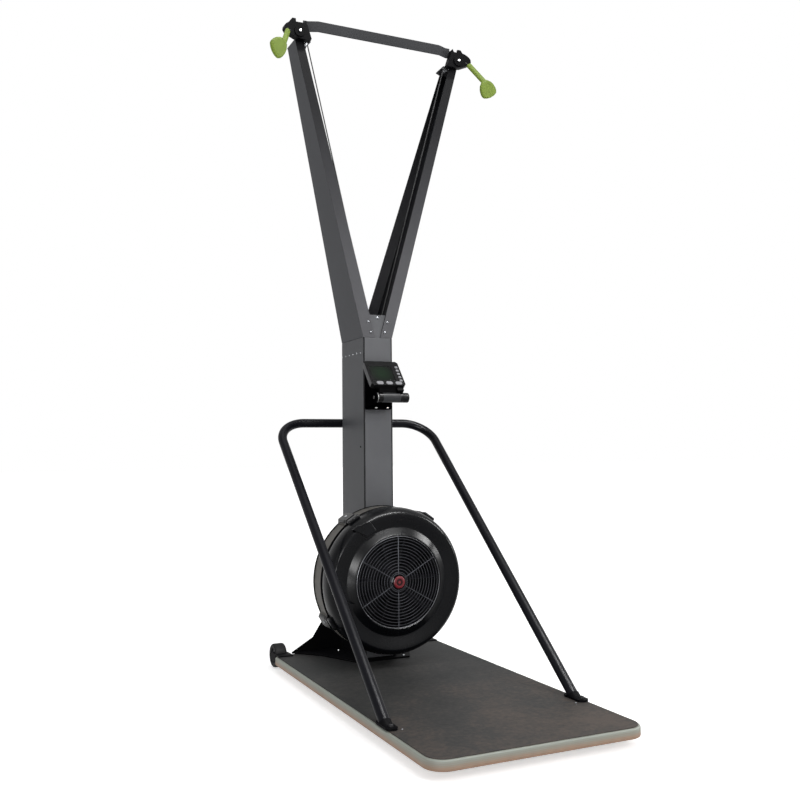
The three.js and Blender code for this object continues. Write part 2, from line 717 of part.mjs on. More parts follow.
// The two wheels at the column's top, which turn the cords down the column: the left cord passes
// the lower one and the right cord the upper one
function columnWheelPlaces() {
  const reach = columnWheel.groove + cord.radius + seat;
  const { drives } = spoolPlaces();
  return [
    { x: cordRun - reach, y: drives[0] - cordShift, z: column.top - columnWheel.lowDrop },
    { x: cordRun + reach, y: drives[1] - cordShift, z: column.top + columnWheel.highRise },
  ];
}

// Grooved wheel about an axis along Y or X
function groovedWheel(bore, { groove, flange, halfWidth, halfGroove }, axis, centre) {
  return turned([
    [bore, -halfWidth], [flange, -halfWidth], [groove, -halfGroove], [groove, halfGroove],
    [flange, halfWidth], [bore, halfWidth],
  ], axis, sides.pulley, centre);
}

const sharesToward = (side, [outShare, alongShare, upShare]) =>
  new THREE.Vector3(side * outShare, alongShare, upShare).normalize();
const mouthPoint = (side) => new THREE.Vector3(
  side * (boltX + handle.mouthOut), headFront - handle.mouthAhead, boltZ - handle.mouthDrop,
);

// Stops of one side's drive cord, from the mouth to the spool
function driveStops(side, index) {
  const { drives } = spoolPlaces();
  const wheelPlace = columnWheelPlaces()[index];
  const reach = (wheelSizes) => wheelSizes.groove + cord.radius + seat;
  const { x, y, z } = mouthPoint(side);
  return [
    { x, y, z, radius: 0, sense: 1 },
    { x: side * boltX, y: headMiddle, z: boltZ, radius: reach(headWheel), sense: side },
    { x: side * guideX, y: guideY, z: guideZ, radius: reach(guide), sense: side },
    { ...wheelPlace, radius: reach(columnWheel), sense: side },
    {
      x: 0, y: drives[index] - cordShift, z: fan.axisZ, radius: cordRun, sense: -1,
      turn: cord.wrap, slide: 2 * cordShift,
    },
  ];
}

// Head of one side: housing with its bolt, the wheel inside, the plate and guide wheel below,
// the drive cord, the short cord that stretches out with the handle, and the handle
function buildSide(name, side, index) {
  const axis = sharesToward(side, handleShares[name].stem);
  const mouth = mouthPoint(side);
  const path = cordPath(driveStops(side, index));
  const headArc = path.filter((point) => Math.abs(point.y - headMiddle) < seat);
  const entry = headArc[0];
  const exit = headArc[headArc.length - 1];
  const guideEntry = path[path.indexOf(exit) + 1];
  const past = (from, to, reach) => to.clone().add(to.clone().sub(from).setLength(reach));
  const tunnels = [
    sweep([entry.clone(), past(entry, mouth, handle.stemRadius)], head.tunnel, sides.pin),
    sweep([exit.clone(), past(exit, guideEntry, head.depth)], head.tunnel, sides.pin),
  ];
  buildHead(name, side, tunnels, sweep(
    [mouth.clone(), mouth.clone().addScaledVector(axis, head.width)], handle.mouthCut, sides.tube,
  ));
  buildWing(name, side);

  const inward = path[1].clone().sub(mouth).normalize();
  const stubStart = mouth.clone().addScaledVector(inward, cord.stubBack);
  const stubEnd = mouth.clone().addScaledVector(axis, cord.stubIn);
  const stub = sweep([stubStart, mouth.clone(), stubEnd], cord.radius, sides.cord);
  add(`cord_stub_${name}`, stub, materials.cord);
  const driveStart = stubStart.clone().addScaledVector(inward, seat);
  const drive = sweep([driveStart, ...path.slice(1)], cord.radius, sides.cord);
  add(`drive_cord_${name}`, drive, materials.cord);

  buildHandle(name, axis, sharesToward(side, handleShares[name].paddle), mouth);
}

// Head housing with a boss round its bolt, a fin at the back, and its wheel in a pocket
function buildHead(name, side, tunnels, mouthCut) {
  const drawn = (shares) => shares.map(([acrossShare, upShare]) => [
    side * (boltX + acrossShare * head.width), boltZ + upShare * head.height,
  ]);
  const boltPlace = [side * boltX, 0, boltZ];
  const pocketHalf = headWheel.halfWidth + 2 * running;
  const arcReach = (headWheel.groove + cord.radius + seat) / Math.cos((cord.stepAngle / 2) * degree);
  const pocket = arcReach + cord.radius + running;
  const body = join(
    slab(drawn(headShares), 'y', headFront, headRear),
    slab(drawn(finShares), 'y', headRear - head.fin, headRear),
    rod(head.boss, headFront - head.bossProud, headFront + running, 'y', sides.wheel, boltPlace),
  );
  const shell = cut(
    body,
    rod(pocket, headMiddle - pocketHalf, headMiddle + pocketHalf, 'y', sides.pulley, boltPlace),
    ...tunnels, mouthCut,
  );
  const boltFront = headFront - head.bossProud - head.boltProud;
  const bolt = rod(headWheel.bolt, boltFront, headRear - running, 'y', sides.pin, boltPlace);
  add(`head_housing_${name}`, join(shell, bolt), materials.gloss);
  const wheelShape = groovedWheel(headWheel.bolt + seat, headWheel, 'y', [side * boltX, headMiddle, boltZ]);
  add(`head_pulley_${name}`, wheelShape, materials.steel);
}

// Plate that closes the arm's top end: a notch lets the cord and the guide wheel through, and a
// cheek under it carries the wheel's pin
function buildWing(name, side) {
  const low = armTop + seat;
  const front = headRear + seat;
  const rear = armRear + wing.rearPast;
  const cheekFront = guideY + guide.halfWidth + running;
  const outline = [
    [headX - wing.reach, front], [headX - wing.notchReach, front], [headX - wing.notchReach, cheekFront],
    [headX - wing.notchOuter, cheekFront], [headX - wing.notchOuter, front], [headX, front], [headX, rear],
    [headX - wing.cornerReach, rear],
    [headX - wing.reach + wing.tipInset, front + (rear - front) * wing.tipShare],
  ].map(([x, y]) => [side * x, y]);
  const cheekOutline = [
    [guideX - wing.cheekHalf, low + wing.plate / 2], [guideX + wing.cheekHalf, low + wing.plate / 2],
    [guideX + wing.cheekHalf / 2, low - wing.cheekDrop], [guideX - wing.cheekHalf / 2, low - wing.cheekDrop],
  ].map(([x, z]) => [side * x, z]);
  const pinFront = guideY - guide.halfWidth - guide.pinProud;
  const guidePlace = [side * guideX, 0, guideZ];
  const bracket = join(
    slab(outline, 'z', low, low + wing.plate),
    slab(cheekOutline, 'y', cheekFront, cheekFront + wing.cheek),
    rod(guide.pin, pinFront, cheekFront + wing.cheek / 2, 'y', sides.pin, guidePlace),
  );
  add(`wing_bracket_${name}`, bracket, materials.blackSteel);
  const wheelShape = groovedWheel(guide.pin + seat, guide, 'y', [side * guideX, guideY, guideZ]);
  add(`guide_pulley_${name}`, wheelShape, materials.steel);
}

// Handle drawn with its stem along Z: the stem runs on a little past the bend into the paddle,
// and its top has a blind bore for the cord's end
function buildHandle(name, axis, lean, mouth) {
  const half = paddleShares.map(([acrossShare, alongShare]) => [
    acrossShare * handle.width, alongShare * handle.paddle,
  ]);
  const outline = [...half, [0, handle.paddle], ...half.map(([u, v]) => [-u, v]).reverse()];
  const bend = handle.bend * degree;
  const past = handle.stemRadius * 2;
  const stem = sweep([
    new THREE.Vector3(0, 0, seat), new THREE.Vector3(0, 0, handle.stem),
    new THREE.Vector3(0, past * Math.sin(bend), handle.stem + past * Math.cos(bend)),
  ], handle.stemRadius, sides.tube).scale(handle.stemSpread, 1, 1);
  const paddle = slab(outline, 'y', -handle.thickness / 2, handle.thickness / 2, handle.bevel)
    .rotateX(-bend).translate(0, 0, handle.stem);
  const bored = cut(join(stem, paddle), rod(handle.bore, -overrun, cord.stubIn + overrun, 'z', sides.pin));
  const upright = lean.clone().addScaledVector(axis, -lean.dot(axis)).normalize();
  const turn = new THREE.Matrix4().makeBasis(upright.clone().cross(axis), upright, axis);
  bored.applyMatrix4(turn).translate(mouth.x, mouth.y, mouth.z);
  add(`handle_${name}`, bored, materials.lime);
}

// Strap between the heads, with its ends set back behind them
function buildStrap() {
  const rear = headRear + seat;
  const front = headRear - strap.ahead;
  const [end, bend, straight] = [strap.endInset, strap.bendInset, strap.straightInset].map(
    (inset) => headX - inset,
  );
  const edge = [
    [-end, rear], [-bend, rear], [-straight, front], [straight, front], [bend, rear], [end, rear],
  ];
  const outline = [...edge, ...edge.map(([x, y]) => [x, y + strap.thickness]).reverse()];
  add('top_strap', slab(outline, 'z', strap.top - strap.height, strap.top), materials.greyCoat);
}

// Wheels, spools and cords inside the column
function buildColumnDrive() {
  const { starts, returns, returnMiddle } = spoolPlaces();
  columnWheelPlaces().forEach(({ x, y, z }, index) => {
    const wheelShape = groovedWheel(columnWheel.stud + seat, columnWheel, 'y', [x, y, z]);
    add(`column_pulley_${sideNames[index][0]}`, wheelShape, materials.steel);
  });
  starts.forEach((start, index) => {
    const bore = axle.radius + seat;
    const drumEnd = start + spool.plate + spool.drive;
    const shape = turned([
      [bore, start], [spool.flange, start], [spool.flange, start + spool.plate],
      [spool.groove, start + spool.plate], [spool.groove, drumEnd], [spool.flange, drumEnd],
      [spool.flange, drumEnd + spool.plate], [spool.groove, drumEnd + spool.plate],
      [spool.groove, start + spoolDepth - spool.plate], [spool.flange, start + spoolDepth - spool.plate],
      [spool.flange, start + spoolDepth], [bore, start + spoolDepth],
    ], 'y', sides.pulley, [0, 0, fan.axisZ]);
    add(`drive_spool_${sideNames[index][0]}`, shape, materials.steel);
  });

  const loopRadius = (returns[1] - returns[0]) / 2;
  const bottom = arcPoints(returnMiddle, 0, returnWheel.z, loopRadius, 180, 360, returnWheel.steps)
    .map(({ x, z }) => new THREE.Vector3(cordRun, x, z));
  const turn = cord.returnTurn;
  const route = [
    ...circlePoints(0, returns[0], fan.axisZ, cordRun, turn, -turn), ...bottom,
    ...circlePoints(0, returns[1], fan.axisZ, cordRun, 0, turn),
  ];
  add('return_cord', sweep(route, cord.radius, sides.cord), materials.cord);
  const loopWheel = {
    groove: loopRadius - cord.radius - seat, flange: loopRadius + returnWheel.lip,
    halfWidth: returnWheel.halfWidth, halfGroove: returnWheel.halfGroove,
  };
  add(
    'return_pulley',
    groovedWheel(returnWheel.pin + seat, loopWheel, 'x', [cordRun, returnMiddle, returnWheel.z]),
    materials.steel,
  );
}

// Clamp lug on a drum: outline in the fan's own plane, turned to its angle
function lugShape(angle, from, to) {
  const low = fan.radius - fan.wall / 2;
  const outline = [
    [-lug.half, low], [lug.half, low], [lug.half, lug.reach - lug.chamfer], [lug.tipHalf, lug.reach],
    [-lug.tipHalf, lug.reach], [-lug.half, lug.reach - lug.chamfer],
  ];
  return slab(outline, 'y', from, to).rotateY((90 - angle) * degree).translate(0, 0, fan.axisZ);
}

const spun = (geometry, angle) => geometry.rotateY(-angle * degree).translate(0, 0, fan.axisZ);

// Line of points set in from an outline by a wall
function wallInside(points, wall) {
  const normals = points.slice(1).map(([u, v], k) => {
    const [du, dv] = [u - points[k][0], v - points[k][1]];
    return new THREE.Vector2(dv, -du).normalize();
  });
  return points.map(([u, v], k) => {
    const before = normals[Math.max(k - 1, 0)];
    const after = normals[Math.min(k, normals.length - 1)];
    const sum = before.clone().add(after);
    sum.multiplyScalar((2 * wall) / sum.lengthSq());
    return [u + sum.x, v + sum.y];
  });
}

function buildFan() {
  const axisPlace = [0, 0, fan.axisZ];
  const backFront = fanRear - fan.back;
  const inner = fan.radius - fan.wall;
  const grooveInner = fan.groove - fan.wall;
  const lipFront = coverRear + seat;
  const hubHole = bearing.outer + seat;
  const hubWall = hubHole + fan.back;
  const hubFront = backFront - bearing.width;
  const hubRear = columnFront - seat;
  const drum = turned([
    [hubHole, hubFront], [hubWall, hubFront], [hubWall, backFront], [inner, backFront],
    [inner, bandFront + fan.wall], [grooveInner, bandFront + fan.wall], [grooveInner, lipFront],
    [fan.groove, lipFront], [fan.groove, bandFront], [fan.radius, bandFront], [fan.radius, fanRear],
    [fan.hubOuter, fanRear], [fan.hubOuter, hubRear], [fan.hubInner, hubRear], [fan.hubInner, fanRear],
    [hubHole, fanRear],
  ], 'y', sides.fan, axisPlace);
  const slotFrom = damper.start - damper.slotMargin;
  const slotTo = damper.start + damper.travel + damper.slotMargin;
  const slotOutline = [
    ...arcPoints(0, 0, 0, inner - overrun, slotFrom, slotTo, sides.slot),
    ...arcPoints(0, 0, 0, fan.radius + overrun, slotTo, slotFrom, sides.slot),
  ].map(({ x, z }) => [x, z]);
  const slotHalf = damper.leverDepth / 2 + 2 * running;
  const slot = slab(slotOutline, 'y', damperMiddle - slotHalf, damperMiddle + slotHalf);
  slot.translate(...axisPlace);
  const rearLugs = lugAngles.map(
    (angle) => lugShape(angle, bandFront - lug.rearAhead, fanRear - lug.rearSetback),
  );
  add('fan_rear_housing', cut(join(drum, ...rearLugs), slot), materials.gloss);

  const coverInner = wallInside(coverOutline, fan.wall).reverse();
  coverInner[0] = [grilleRadius + seat, coverFront + fan.wall];
  coverInner[coverInner.length - 1] = [fan.radius - fan.wall, coverRear - fan.wall];
  const shell = turned([
    ...coverOutline, ...coverInner, [grooveInner, coverRear - fan.wall], [grooveInner, coverRear],
  ], 'y', sides.fan, axisPlace);
  const frontLugs = lugAngles.map((angle) => lugShape(angle, coverRear - lug.coverDepth, coverRear));
  add('fan_front_cover', join(shell, ...frontLugs), materials.gloss);

  add('fan_grille', buildGrille(), materials.gloss);
  const capRear = coverFront - seat;
  const capFront = capRear - centreCap.thickness;
  const capShape = turned([
    [0, capFront], [centreCap.radius - centreCap.crown, capFront],
    [centreCap.radius, capRear - centreCap.crown], [centreCap.radius, capRear], [0, capRear],
  ], 'y', sides.pulley, axisPlace);
  add('fan_centre_cap', capShape, materials.cap);
  buildRotor(axisPlace, hubFront);
  buildDamper(axisPlace);
}

// Flywheel with its vanes, axle and the two bearings
function buildRotor(axisPlace, hubFront) {
  const discFront = flywheelRear - flywheel.disc;
  const rimMiddle = flywheel.radius - flywheel.rim / 2;
  const bore = axle.radius + seat;
  const wheelRing = (inner, outer, from, to) => ring(inner, outer, from, to, 'y', sides.wheel, axisPlace);
  const rotorRim = wheelRing(
    flywheel.radius - flywheel.rim, flywheel.radius, flywheelRear - flywheel.rimDepth, flywheelRear,
  );
  const rotorDisc = wheelRing(bore, rimMiddle, discFront, flywheelRear);
  const discMiddle = flywheelRear - flywheel.disc / 2;
  const rotorHub = wheelRing(bore, flywheel.hub, flywheelRear - flywheel.hubDepth, discMiddle);
  const blades = Array.from({ length: flywheel.vanes }, (unused, k) => spun(block(
    [flywheel.vaneStart, flywheelRear - flywheel.vaneDepth, -flywheel.vane / 2],
    [rimMiddle, discMiddle, flywheel.vane / 2],
  ), (360 * k) / flywheel.vanes));
  add('flywheel', join(rotorDisc, rotorRim, rotorHub, ...blades), materials.steel);
  const shaft = rod(
    axle.radius, coverFront + axle.frontGap, columnRear - axle.rearGap, 'y', sides.pulley, axisPlace,
  );
  add('flywheel_axle', shaft, materials.steel);
  const bearingFronts = [
    ['front', hubFront + running], ['rear', columnRear - column.wall - bearing.width - running],
  ];
  for (const [where, from] of bearingFronts) {
    const race = ring(bore, bearing.outer, from, from + bearing.width, 'y', sides.pulley, axisPlace);
    add(`bearing_${where}`, race, materials.steel);
  }
}

// Damper: a windowed sleeve inside the drum, turned by its lever through the slot
function buildDamper(axisPlace) {
  const inner = damper.radius - damper.wall;
  const sleeve = ring(inner, damper.radius, damperFront, damperRear, 'y', sides.fan, axisPlace);
  const lever = spun(block(
    [damper.radius - damper.wall / 2, damperMiddle - damper.leverDepth / 2, -damper.leverHalf],
    [damper.leverReach, damperMiddle + damper.leverDepth / 2, damper.leverHalf],
  ), damper.start);
  const windowShapes = Array.from({ length: damper.windows }, (unused, k) => spun(block(
    [inner - 2 * damper.wall, damperMiddle - damper.windowFront, -damper.windowHalf],
    [damper.radius + overrun, damperMiddle + damper.windowRear, damper.windowHalf],
  ), damper.start + (360 * (k + 1 / 2)) / damper.windows));
  add('damper_ring', join(cut(sleeve, ...windowShapes), lever), materials.blackSteel);
}

// Grille: rings and spokes left between sector holes
function buildGrille() {
  const circle = (radius, count) => arcPoints(0, 0, 0, radius, 0, 360 - 360 / count, count - 1);
  const shape = new THREE.Shape(circle(grilleRadius, sides.fan).map(({ x, z }) => new THREE.Vector2(x, z)));
  const pitch = (grilleRadius - grille.rim - grille.hub + grille.wire) / grille.rings;
  for (let ringIndex = 0; ringIndex < grille.rings; ringIndex += 1) {
    const low = grille.hub + ringIndex * pitch;
    const high = low + pitch - grille.wire;
    for (let spoke = 0; spoke < grille.spokes; spoke += 1) {
      const [lowMargin, highMargin] = [low, high].map(
        (radius) => Math.asin(grille.wire / 2 / radius) / degree,
      );
      const from = grille.firstSpoke + (360 / grille.spokes) * spoke;
      const to = from + 360 / grille.spokes;
      const edge = [
        ...arcPoints(0, 0, 0, low, from + lowMargin, to - lowMargin, grille.arcSteps),
        ...arcPoints(0, 0, 0, high, to - highMargin, from + highMargin, grille.arcSteps),
      ];
      shape.holes.push(new THREE.Path(edge.map(({ x, z }) => new THREE.Vector2(x, z))));
    }
  }
  return slab(shape, 'y', coverFront, coverFront + grille.thickness).translate(0, 0, fan.axisZ);
}

// Rectangle with cut corners
function cutRectangle(left, low, right, high, corner) {
  return [
    [left + corner, low], [right - corner, low], [right, low + corner], [right, high - corner],
    [right - corner, high], [left + corner, high], [left, high - corner], [left, low + corner],
  ];
}

const keyPlaces = [
  ...[-1, 0, 1].map((k) => ({
    name: `wide_key_${k + 2}`, size: wideKey, x: wideKey.middle + k * wideKey.pitch, z: wideKey.z,
  })),
  ...Array.from({ length: smallKey.count }, (unused, k) => ({
    name: `menu_key_${k + 1}`, size: smallKey, x: smallKey.x, z: smallKey.top - k * smallKey.pitch,
  })),
];

// Monitor: its group's own axes are X across, Y into the case and Z up the face
function buildMonitor() {
  const lean = monitor.lean * degree;
  const faceY = columnFront - monitor.ahead;
  const faceZ = column.top - monitor.drop;
  const group = new THREE.Group();
  group.position.set(0, faceY, faceZ);
  group.rotation.x = -lean;
  machine.add(group);
  const [fromFaceY, fromFaceZ] = [tubeY - faceY, tubeZ - faceZ];
  const axisY = fromFaceY * Math.cos(lean) - fromFaceZ * Math.sin(lean);
  const axisZ = fromFaceY * Math.sin(lean) + fromFaceZ * Math.cos(lean);

  const keyOutline = ({ size, x, z }, margin) => cutRectangle(
    x - size.width / 2 - margin, z - size.height / 2 - margin,
    x + size.width / 2 + margin, z + size.height / 2 + margin, size.corner,
  );
  const half = monitor.width / 2;
  const tall = monitor.height / 2;
  const faceOutline = cutRectangle(-half, -tall, half, tall, monitor.corner);
  const blank = slab(faceOutline, 'y', 0, monitor.depth, monitor.bevel);
  const neckStart = monitor.depth - monitor.neckDepth;
  const neckRear = axisY + tube.radius + monitor.neckDepth / 2;
  const neck = slab([
    [neckStart, -tall + monitor.bevel], [axisY, axisZ], [neckRear, axisZ], [neckRear, axisZ + tube.radius],
    [monitor.depth + monitor.neckDepth, -tall / 2], [neckStart, -tall / 2],
  ], 'x', -monitor.neckHalf, monitor.neckHalf);
  const pockets = keyPlaces.map((place) => slab(
    keyOutline(place, seat), 'y', -overrun, place.size.depth - place.size.proud + keyTravel + seat,
  ));
  const screenPocket = block(
    [screen.left - seat, -overrun, screen.low - seat],
    [screen.right + seat, screen.depth + seat, screen.high + seat],
  );
  const saddle = rod(tube.radius + seat, -half, half, 'x', sides.pulley, [0, axisY, axisZ]);
  add('monitor_case', cut(join(blank, neck), saddle, screenPocket, ...pockets), materials.caseGrey, group);
  const glass = block([screen.left, 0, screen.low], [screen.right, screen.depth, screen.high]);
  add('monitor_screen', glass, materials.display, group);
  for (const place of keyPlaces) {
    const shape = slab(keyOutline(place, 0), 'y', -place.size.proud, place.size.depth - place.size.proud);
    add(place.name, shape, materials.key, group);
  }
  const pinLeft = -holder.half - running;
  const capRadius = tube.radius - tube.capStep;
  const barrel = turned([
    [0, pinLeft], [tube.pin, pinLeft], [tube.pin, tube.collarLeft], [tube.collar, tube.collarLeft],
    [tube.collar, tube.left], [tube.radius, tube.left], [tube.radius, tube.capLeft - tube.capGap],
    [capRadius, tube.capLeft - tube.capGap], [capRadius, tube.capLeft], [tube.radius, tube.capLeft],
    [tube.radius, tube.right - tube.capGap], [tube.radius - tube.capGap, tube.right], [0, tube.right],
  ], 'x', sides.pulley, [0, axisY, axisZ]);
  add('battery_tube', barrel, materials.caseGrey, group);
}

// Monitor bracket: plate on the column, an arm with an eye for the tube's pin, and a lower lug
function buildHolder() {
  const back = columnFront - seat;
  const front = back - holder.plate;
  const root = front + holder.plate / 2;
  const slant = holder.eye * Math.SQRT1_2;
  const armHigh = column.top - holder.armHighDrop;
  const lugLow = column.top - holder.lugDrop;
  const plate = block(
    [-holder.half, front, column.top - holder.lowDrop], [holder.half, back, column.top - holder.highDrop],
  );
  const sideArm = slab([
    [root, column.top - holder.armLowDrop], [root, armHigh], [front - holder.eye, armHigh],
    [tubeY, tubeZ + holder.eye], [tubeY - slant, tubeZ + slant], [tubeY - holder.eye, tubeZ],
    [tubeY - slant, tubeZ - slant], [tubeY, tubeZ - holder.eye],
  ], 'x', -holder.half, -holder.half + holder.arm);
  const foot = block(
    [-holder.half, columnFront - holder.lugAhead, lugLow], [holder.lugHalf, root, lugLow + holder.plate],
  );
  const eye = rod(tube.pin + seat, -2 * holder.half, 0, 'x', sides.pulley, [0, tubeY, tubeZ]);
  add('monitor_bracket', cut(join(plate, sideArm, foot), eye), materials.blackSteel);
}

buildPlatform();
buildBase();
buildColumn();
for (const [index, [name, side]] of sideNames.entries()) {
  buildArm(name, side);
  buildSide(name, side, index);
}
buildJunction();
buildStrap();
buildColumnDrive();
buildFan();
buildRail();
buildWheels();
buildMonitor();
buildHolder();

export default machine;
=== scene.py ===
# %% [markdown]
# # A ski trainer machine, dressed for its portrait
# The CAD solids give every size and place. This lesson gives them their real surfaces, and adds
# the smooth and small pieces that plain solids leave out: rounded edges, screws, veneers, wires.

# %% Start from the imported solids
import math

import bmesh
import bpy
from mathutils import Matrix, Vector


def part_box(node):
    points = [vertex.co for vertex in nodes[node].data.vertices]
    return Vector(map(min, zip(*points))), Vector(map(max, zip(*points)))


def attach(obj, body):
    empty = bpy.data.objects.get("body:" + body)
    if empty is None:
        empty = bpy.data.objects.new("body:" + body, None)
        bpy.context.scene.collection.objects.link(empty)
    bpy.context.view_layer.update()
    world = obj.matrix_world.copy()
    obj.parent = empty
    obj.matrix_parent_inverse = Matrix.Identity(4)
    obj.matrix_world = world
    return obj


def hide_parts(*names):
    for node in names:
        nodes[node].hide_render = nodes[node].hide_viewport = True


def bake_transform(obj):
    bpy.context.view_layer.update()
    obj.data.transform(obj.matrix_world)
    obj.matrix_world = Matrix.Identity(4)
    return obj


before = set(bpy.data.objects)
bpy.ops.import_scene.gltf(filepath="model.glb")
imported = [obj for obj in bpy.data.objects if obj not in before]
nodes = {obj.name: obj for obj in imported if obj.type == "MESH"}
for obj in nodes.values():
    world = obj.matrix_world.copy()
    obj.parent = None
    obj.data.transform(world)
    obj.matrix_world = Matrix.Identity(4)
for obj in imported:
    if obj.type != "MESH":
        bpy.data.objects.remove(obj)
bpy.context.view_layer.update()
MM = 0.001

# %% [markdown]
# ## Camera
# The photograph was taken from the front left, a little below the middle of the machine. Its
# place and lens were solved from the board, the column, the rail and the fan. A camera looks
# along its own -Z, so the three axes are written as columns of a matrix.

# %% Camera at the photograph's place
FOCAL_PIXELS, FRAME_PIXELS, SENSOR_WIDTH = 926.68, 800, 36
AZIMUTH, PITCH, ROLL = math.radians(24.97), math.radians(2.87), math.radians(-0.5)
CAMERA_PLACE = Vector((-1.25107, -2.5166, 0.756))

forward = Vector((
    math.cos(PITCH) * math.sin(AZIMUTH), math.cos(PITCH) * math.cos(AZIMUTH), math.sin(PITCH),
))
level_right = Vector((math.cos(AZIMUTH), -math.sin(AZIMUTH), 0))
level_up = level_right.cross(forward)
right = math.cos(ROLL) * level_right + math.sin(ROLL) * level_up
up = -math.sin(ROLL) * level_right + math.cos(ROLL) * level_up

camera_data = bpy.data.cameras.new("camera")
camera = bpy.data.objects.new("camera", camera_data)
bpy.context.scene.collection.objects.link(camera)
camera_data.sensor_width = SENSOR_WIDTH
camera_data.lens = FOCAL_PIXELS / FRAME_PIXELS * camera_data.sensor_width
camera.matrix_world = Matrix.Translation(CAMERA_PLACE) @ Matrix(
    [[right[k], up[k], -forward[k]] for k in range(3)]
).to_4x4()
bpy.context.scene.camera = camera
print("lens", round(camera_data.lens, 2), "mm")

# %% [markdown]
# ## Colours and nodes
# Colours are picked as sRGB hex values, but a shader works in linear light, so one function
# turns them. One more function adds a node, sets its values and joins its links, which keeps
# every material below to a few readable lines. A last one ends a finish: one value picks the
# colour from a ramp of tones, and another raises the surface.

# %% Helpers for materials
def linear(hex_text):
    channels = [int(hex_text[k : k + 2], 16) / 255 for k in (1, 3, 5)]
    return [c / 12.92 if c <= 0.04045 else ((c + 0.055) / 1.055) ** 2.4 for c in channels] + [1]


def add_node(tree, kind, sockets=None, **settings):
    made = tree.nodes.new(kind)
    for key, value in settings.items():
        setattr(made, key, value)
    for key, value in (sockets or {}).items():
        if isinstance(value, bpy.types.NodeSocket):
            tree.links.new(value, made.inputs[key])
        else:
            made.inputs[key].default_value = value
    return made


def per_mm(size):
    """Noise scale that gives features of that size in millimetres on metre coordinates."""
    return 1000 / size


def start_material(name, **shader_values):
    """Empty material with its shader and output, and the Object coordinates to draw it with."""
    material = bpy.data.materials.new(name)
    material.use_nodes = True
    tree = material.node_tree
    tree.nodes.clear()
    shader = add_node(tree, "ShaderNodeBsdfPrincipled")
    for key, value in shader_values.items():
        shader.inputs[key.replace("_", " ")].default_value = value
    add_node(tree, "ShaderNodeOutputMaterial", {"Surface": shader.outputs["BSDF"]})
    coordinates = add_node(tree, "ShaderNodeTexCoord").outputs["Object"]
    return material, tree, shader, coordinates


def set_ramp(ramp, stops):
    elements = ramp.color_ramp.elements
    while len(elements) < len(stops):
        elements.new(0.5)
    for element, (position, colour) in zip(elements, stops):
        element.position = position
        element.color = linear(colour)


def end_finish(tree, shader, tone, stops, height, strength, height_mm):
    """Gives a shader its colour, from tone by a ramp, and its relief, from height as bump."""
    tones = add_node(tree, "ShaderNodeValToRGB", {"Fac": tone})
    set_ramp(tones, stops)
    tree.links.new(tones.outputs["Color"], shader.inputs["Base Color"])
    bump = add_node(tree, "ShaderNodeBump", {
        "Height": height, "Strength": strength, "Distance": height_mm * MM,
    })
    tree.links.new(bump.outputs["Normal"], shader.inputs["Normal"])


# %% [markdown]
# ## Surface finishes
# Most of the machine is powder-coated steel: paint dust baked into a skin that shows a fine
# orange-peel ripple and small clouds of lighter and darker tone. The plastics are moulded and
# smoother, with a very faint mould texture. Both are a noise for the colour clouds and a finer
# noise for the ripple, so one function makes them all.

# %% One function for coats and mouldings
RIPPLE_HEIGHT, COAT_ROUGHNESS = 0.2, 0.12


def skin_finish(name, dark, light, roughness, cloud_mm, ripple_mm, ripple, coat=0.0, specular=0.12):
    """Clouds between two tones over a ripple, with the size of both in millimetres."""
    material, tree, shader, place = start_material(name, Specular_IOR_Level=specular)
    shader.inputs["Coat Weight"].default_value = coat
    shader.inputs["Coat Roughness"].default_value = COAT_ROUGHNESS
    clouds = add_node(tree, "ShaderNodeTexNoise", {
        "Vector": place, "Scale": per_mm(cloud_mm), "Detail": 3,
    })
    wear = add_node(tree, "ShaderNodeMapRange", {
        "Value": clouds.outputs["Fac"], "To Min": roughness - 0.04, "To Max": roughness + 0.06,
    })
    tree.links.new(wear.outputs["Result"], shader.inputs["Roughness"])
    peel = add_node(tree, "ShaderNodeTexNoise", {
        "Vector": place, "Scale": per_mm(ripple_mm), "Detail": 2,
    })
    stops = [(0.3, dark), (0.7, light)]
    end_finish(tree, shader, clouds.outputs["Fac"], stops, peel.outputs["Fac"], ripple, RIPPLE_HEIGHT)
    return material


# %% [markdown]
# Powder coat is dull and evenly toned. The column, its panel, the arms and the strap are one grey coat in
# four tones for the light each sheet gets: the front panel's paler tone is painted light, and the darker
# tones of the arms' sides and the strap are painted shade. The base is nearly black, and the handrail a
# smoother satin that draws a tighter line of light.

# %% Powder coats
# One grey powder coat: the panel's tone is painted light, and the arm sides' and the strap's tones are
# painted shade.
grey_coat = skin_finish("powder_coat_grey", "#444548", "#4d4e51", 0.45, 160, 1.8, 0.25)
panel_lit_coat = skin_finish("powder_coat_grey_painted_lit", "#606164", "#68696c", 0.45, 160, 1.8, 0.25)
arm_side_shaded_coat = skin_finish("powder_coat_arm_side_painted_shade", "#35363a", "#3d3e42", 0.45, 160, 1.8, 0.25)
strap_shaded_coat = skin_finish("powder_coat_strap_painted_shade", "#2c2d30", "#343538", 0.5, 160, 1.8, 0.25, specular=0.04)
# Near-black coat: painted shade in unlit hollows and on the strap's top, and the dark seams at bends.
shade_and_seam_coat = skin_finish("powder_coat_shade_and_seam_black", "#0b0c0f", "#17181c", 0.5, 60, 1.8, 0.25, specular=0.08)
black_coat = skin_finish("powder_coat_black", "#08080a", "#101012", 0.5, 120, 1.8, 0.3, specular=0.015)
holder_coat = skin_finish("powder_coat_holder", "#020203", "#060608", 0.6, 60, 1.8, 0.3, specular=0.0)
bracket_coat = skin_finish("powder_coat_dark_grey", "#2b2b2d", "#38383a", 0.45, 60, 1.8, 0.3, specular=0.08)
rail_coat = skin_finish("satin_coat_rail", "#121217", "#18181d", 0.3, 140, 1.6, 0.2, specular=0.05)
print("coats:", len(bpy.data.materials))

# %% [markdown]
# Moulded ABS is smoother than paint. The fan's drum and cover are polished black and mirror
# the room, the heads and the monitor's case have a fine mould grain that dulls them, and the
# red cap has a clear, shiny skin.

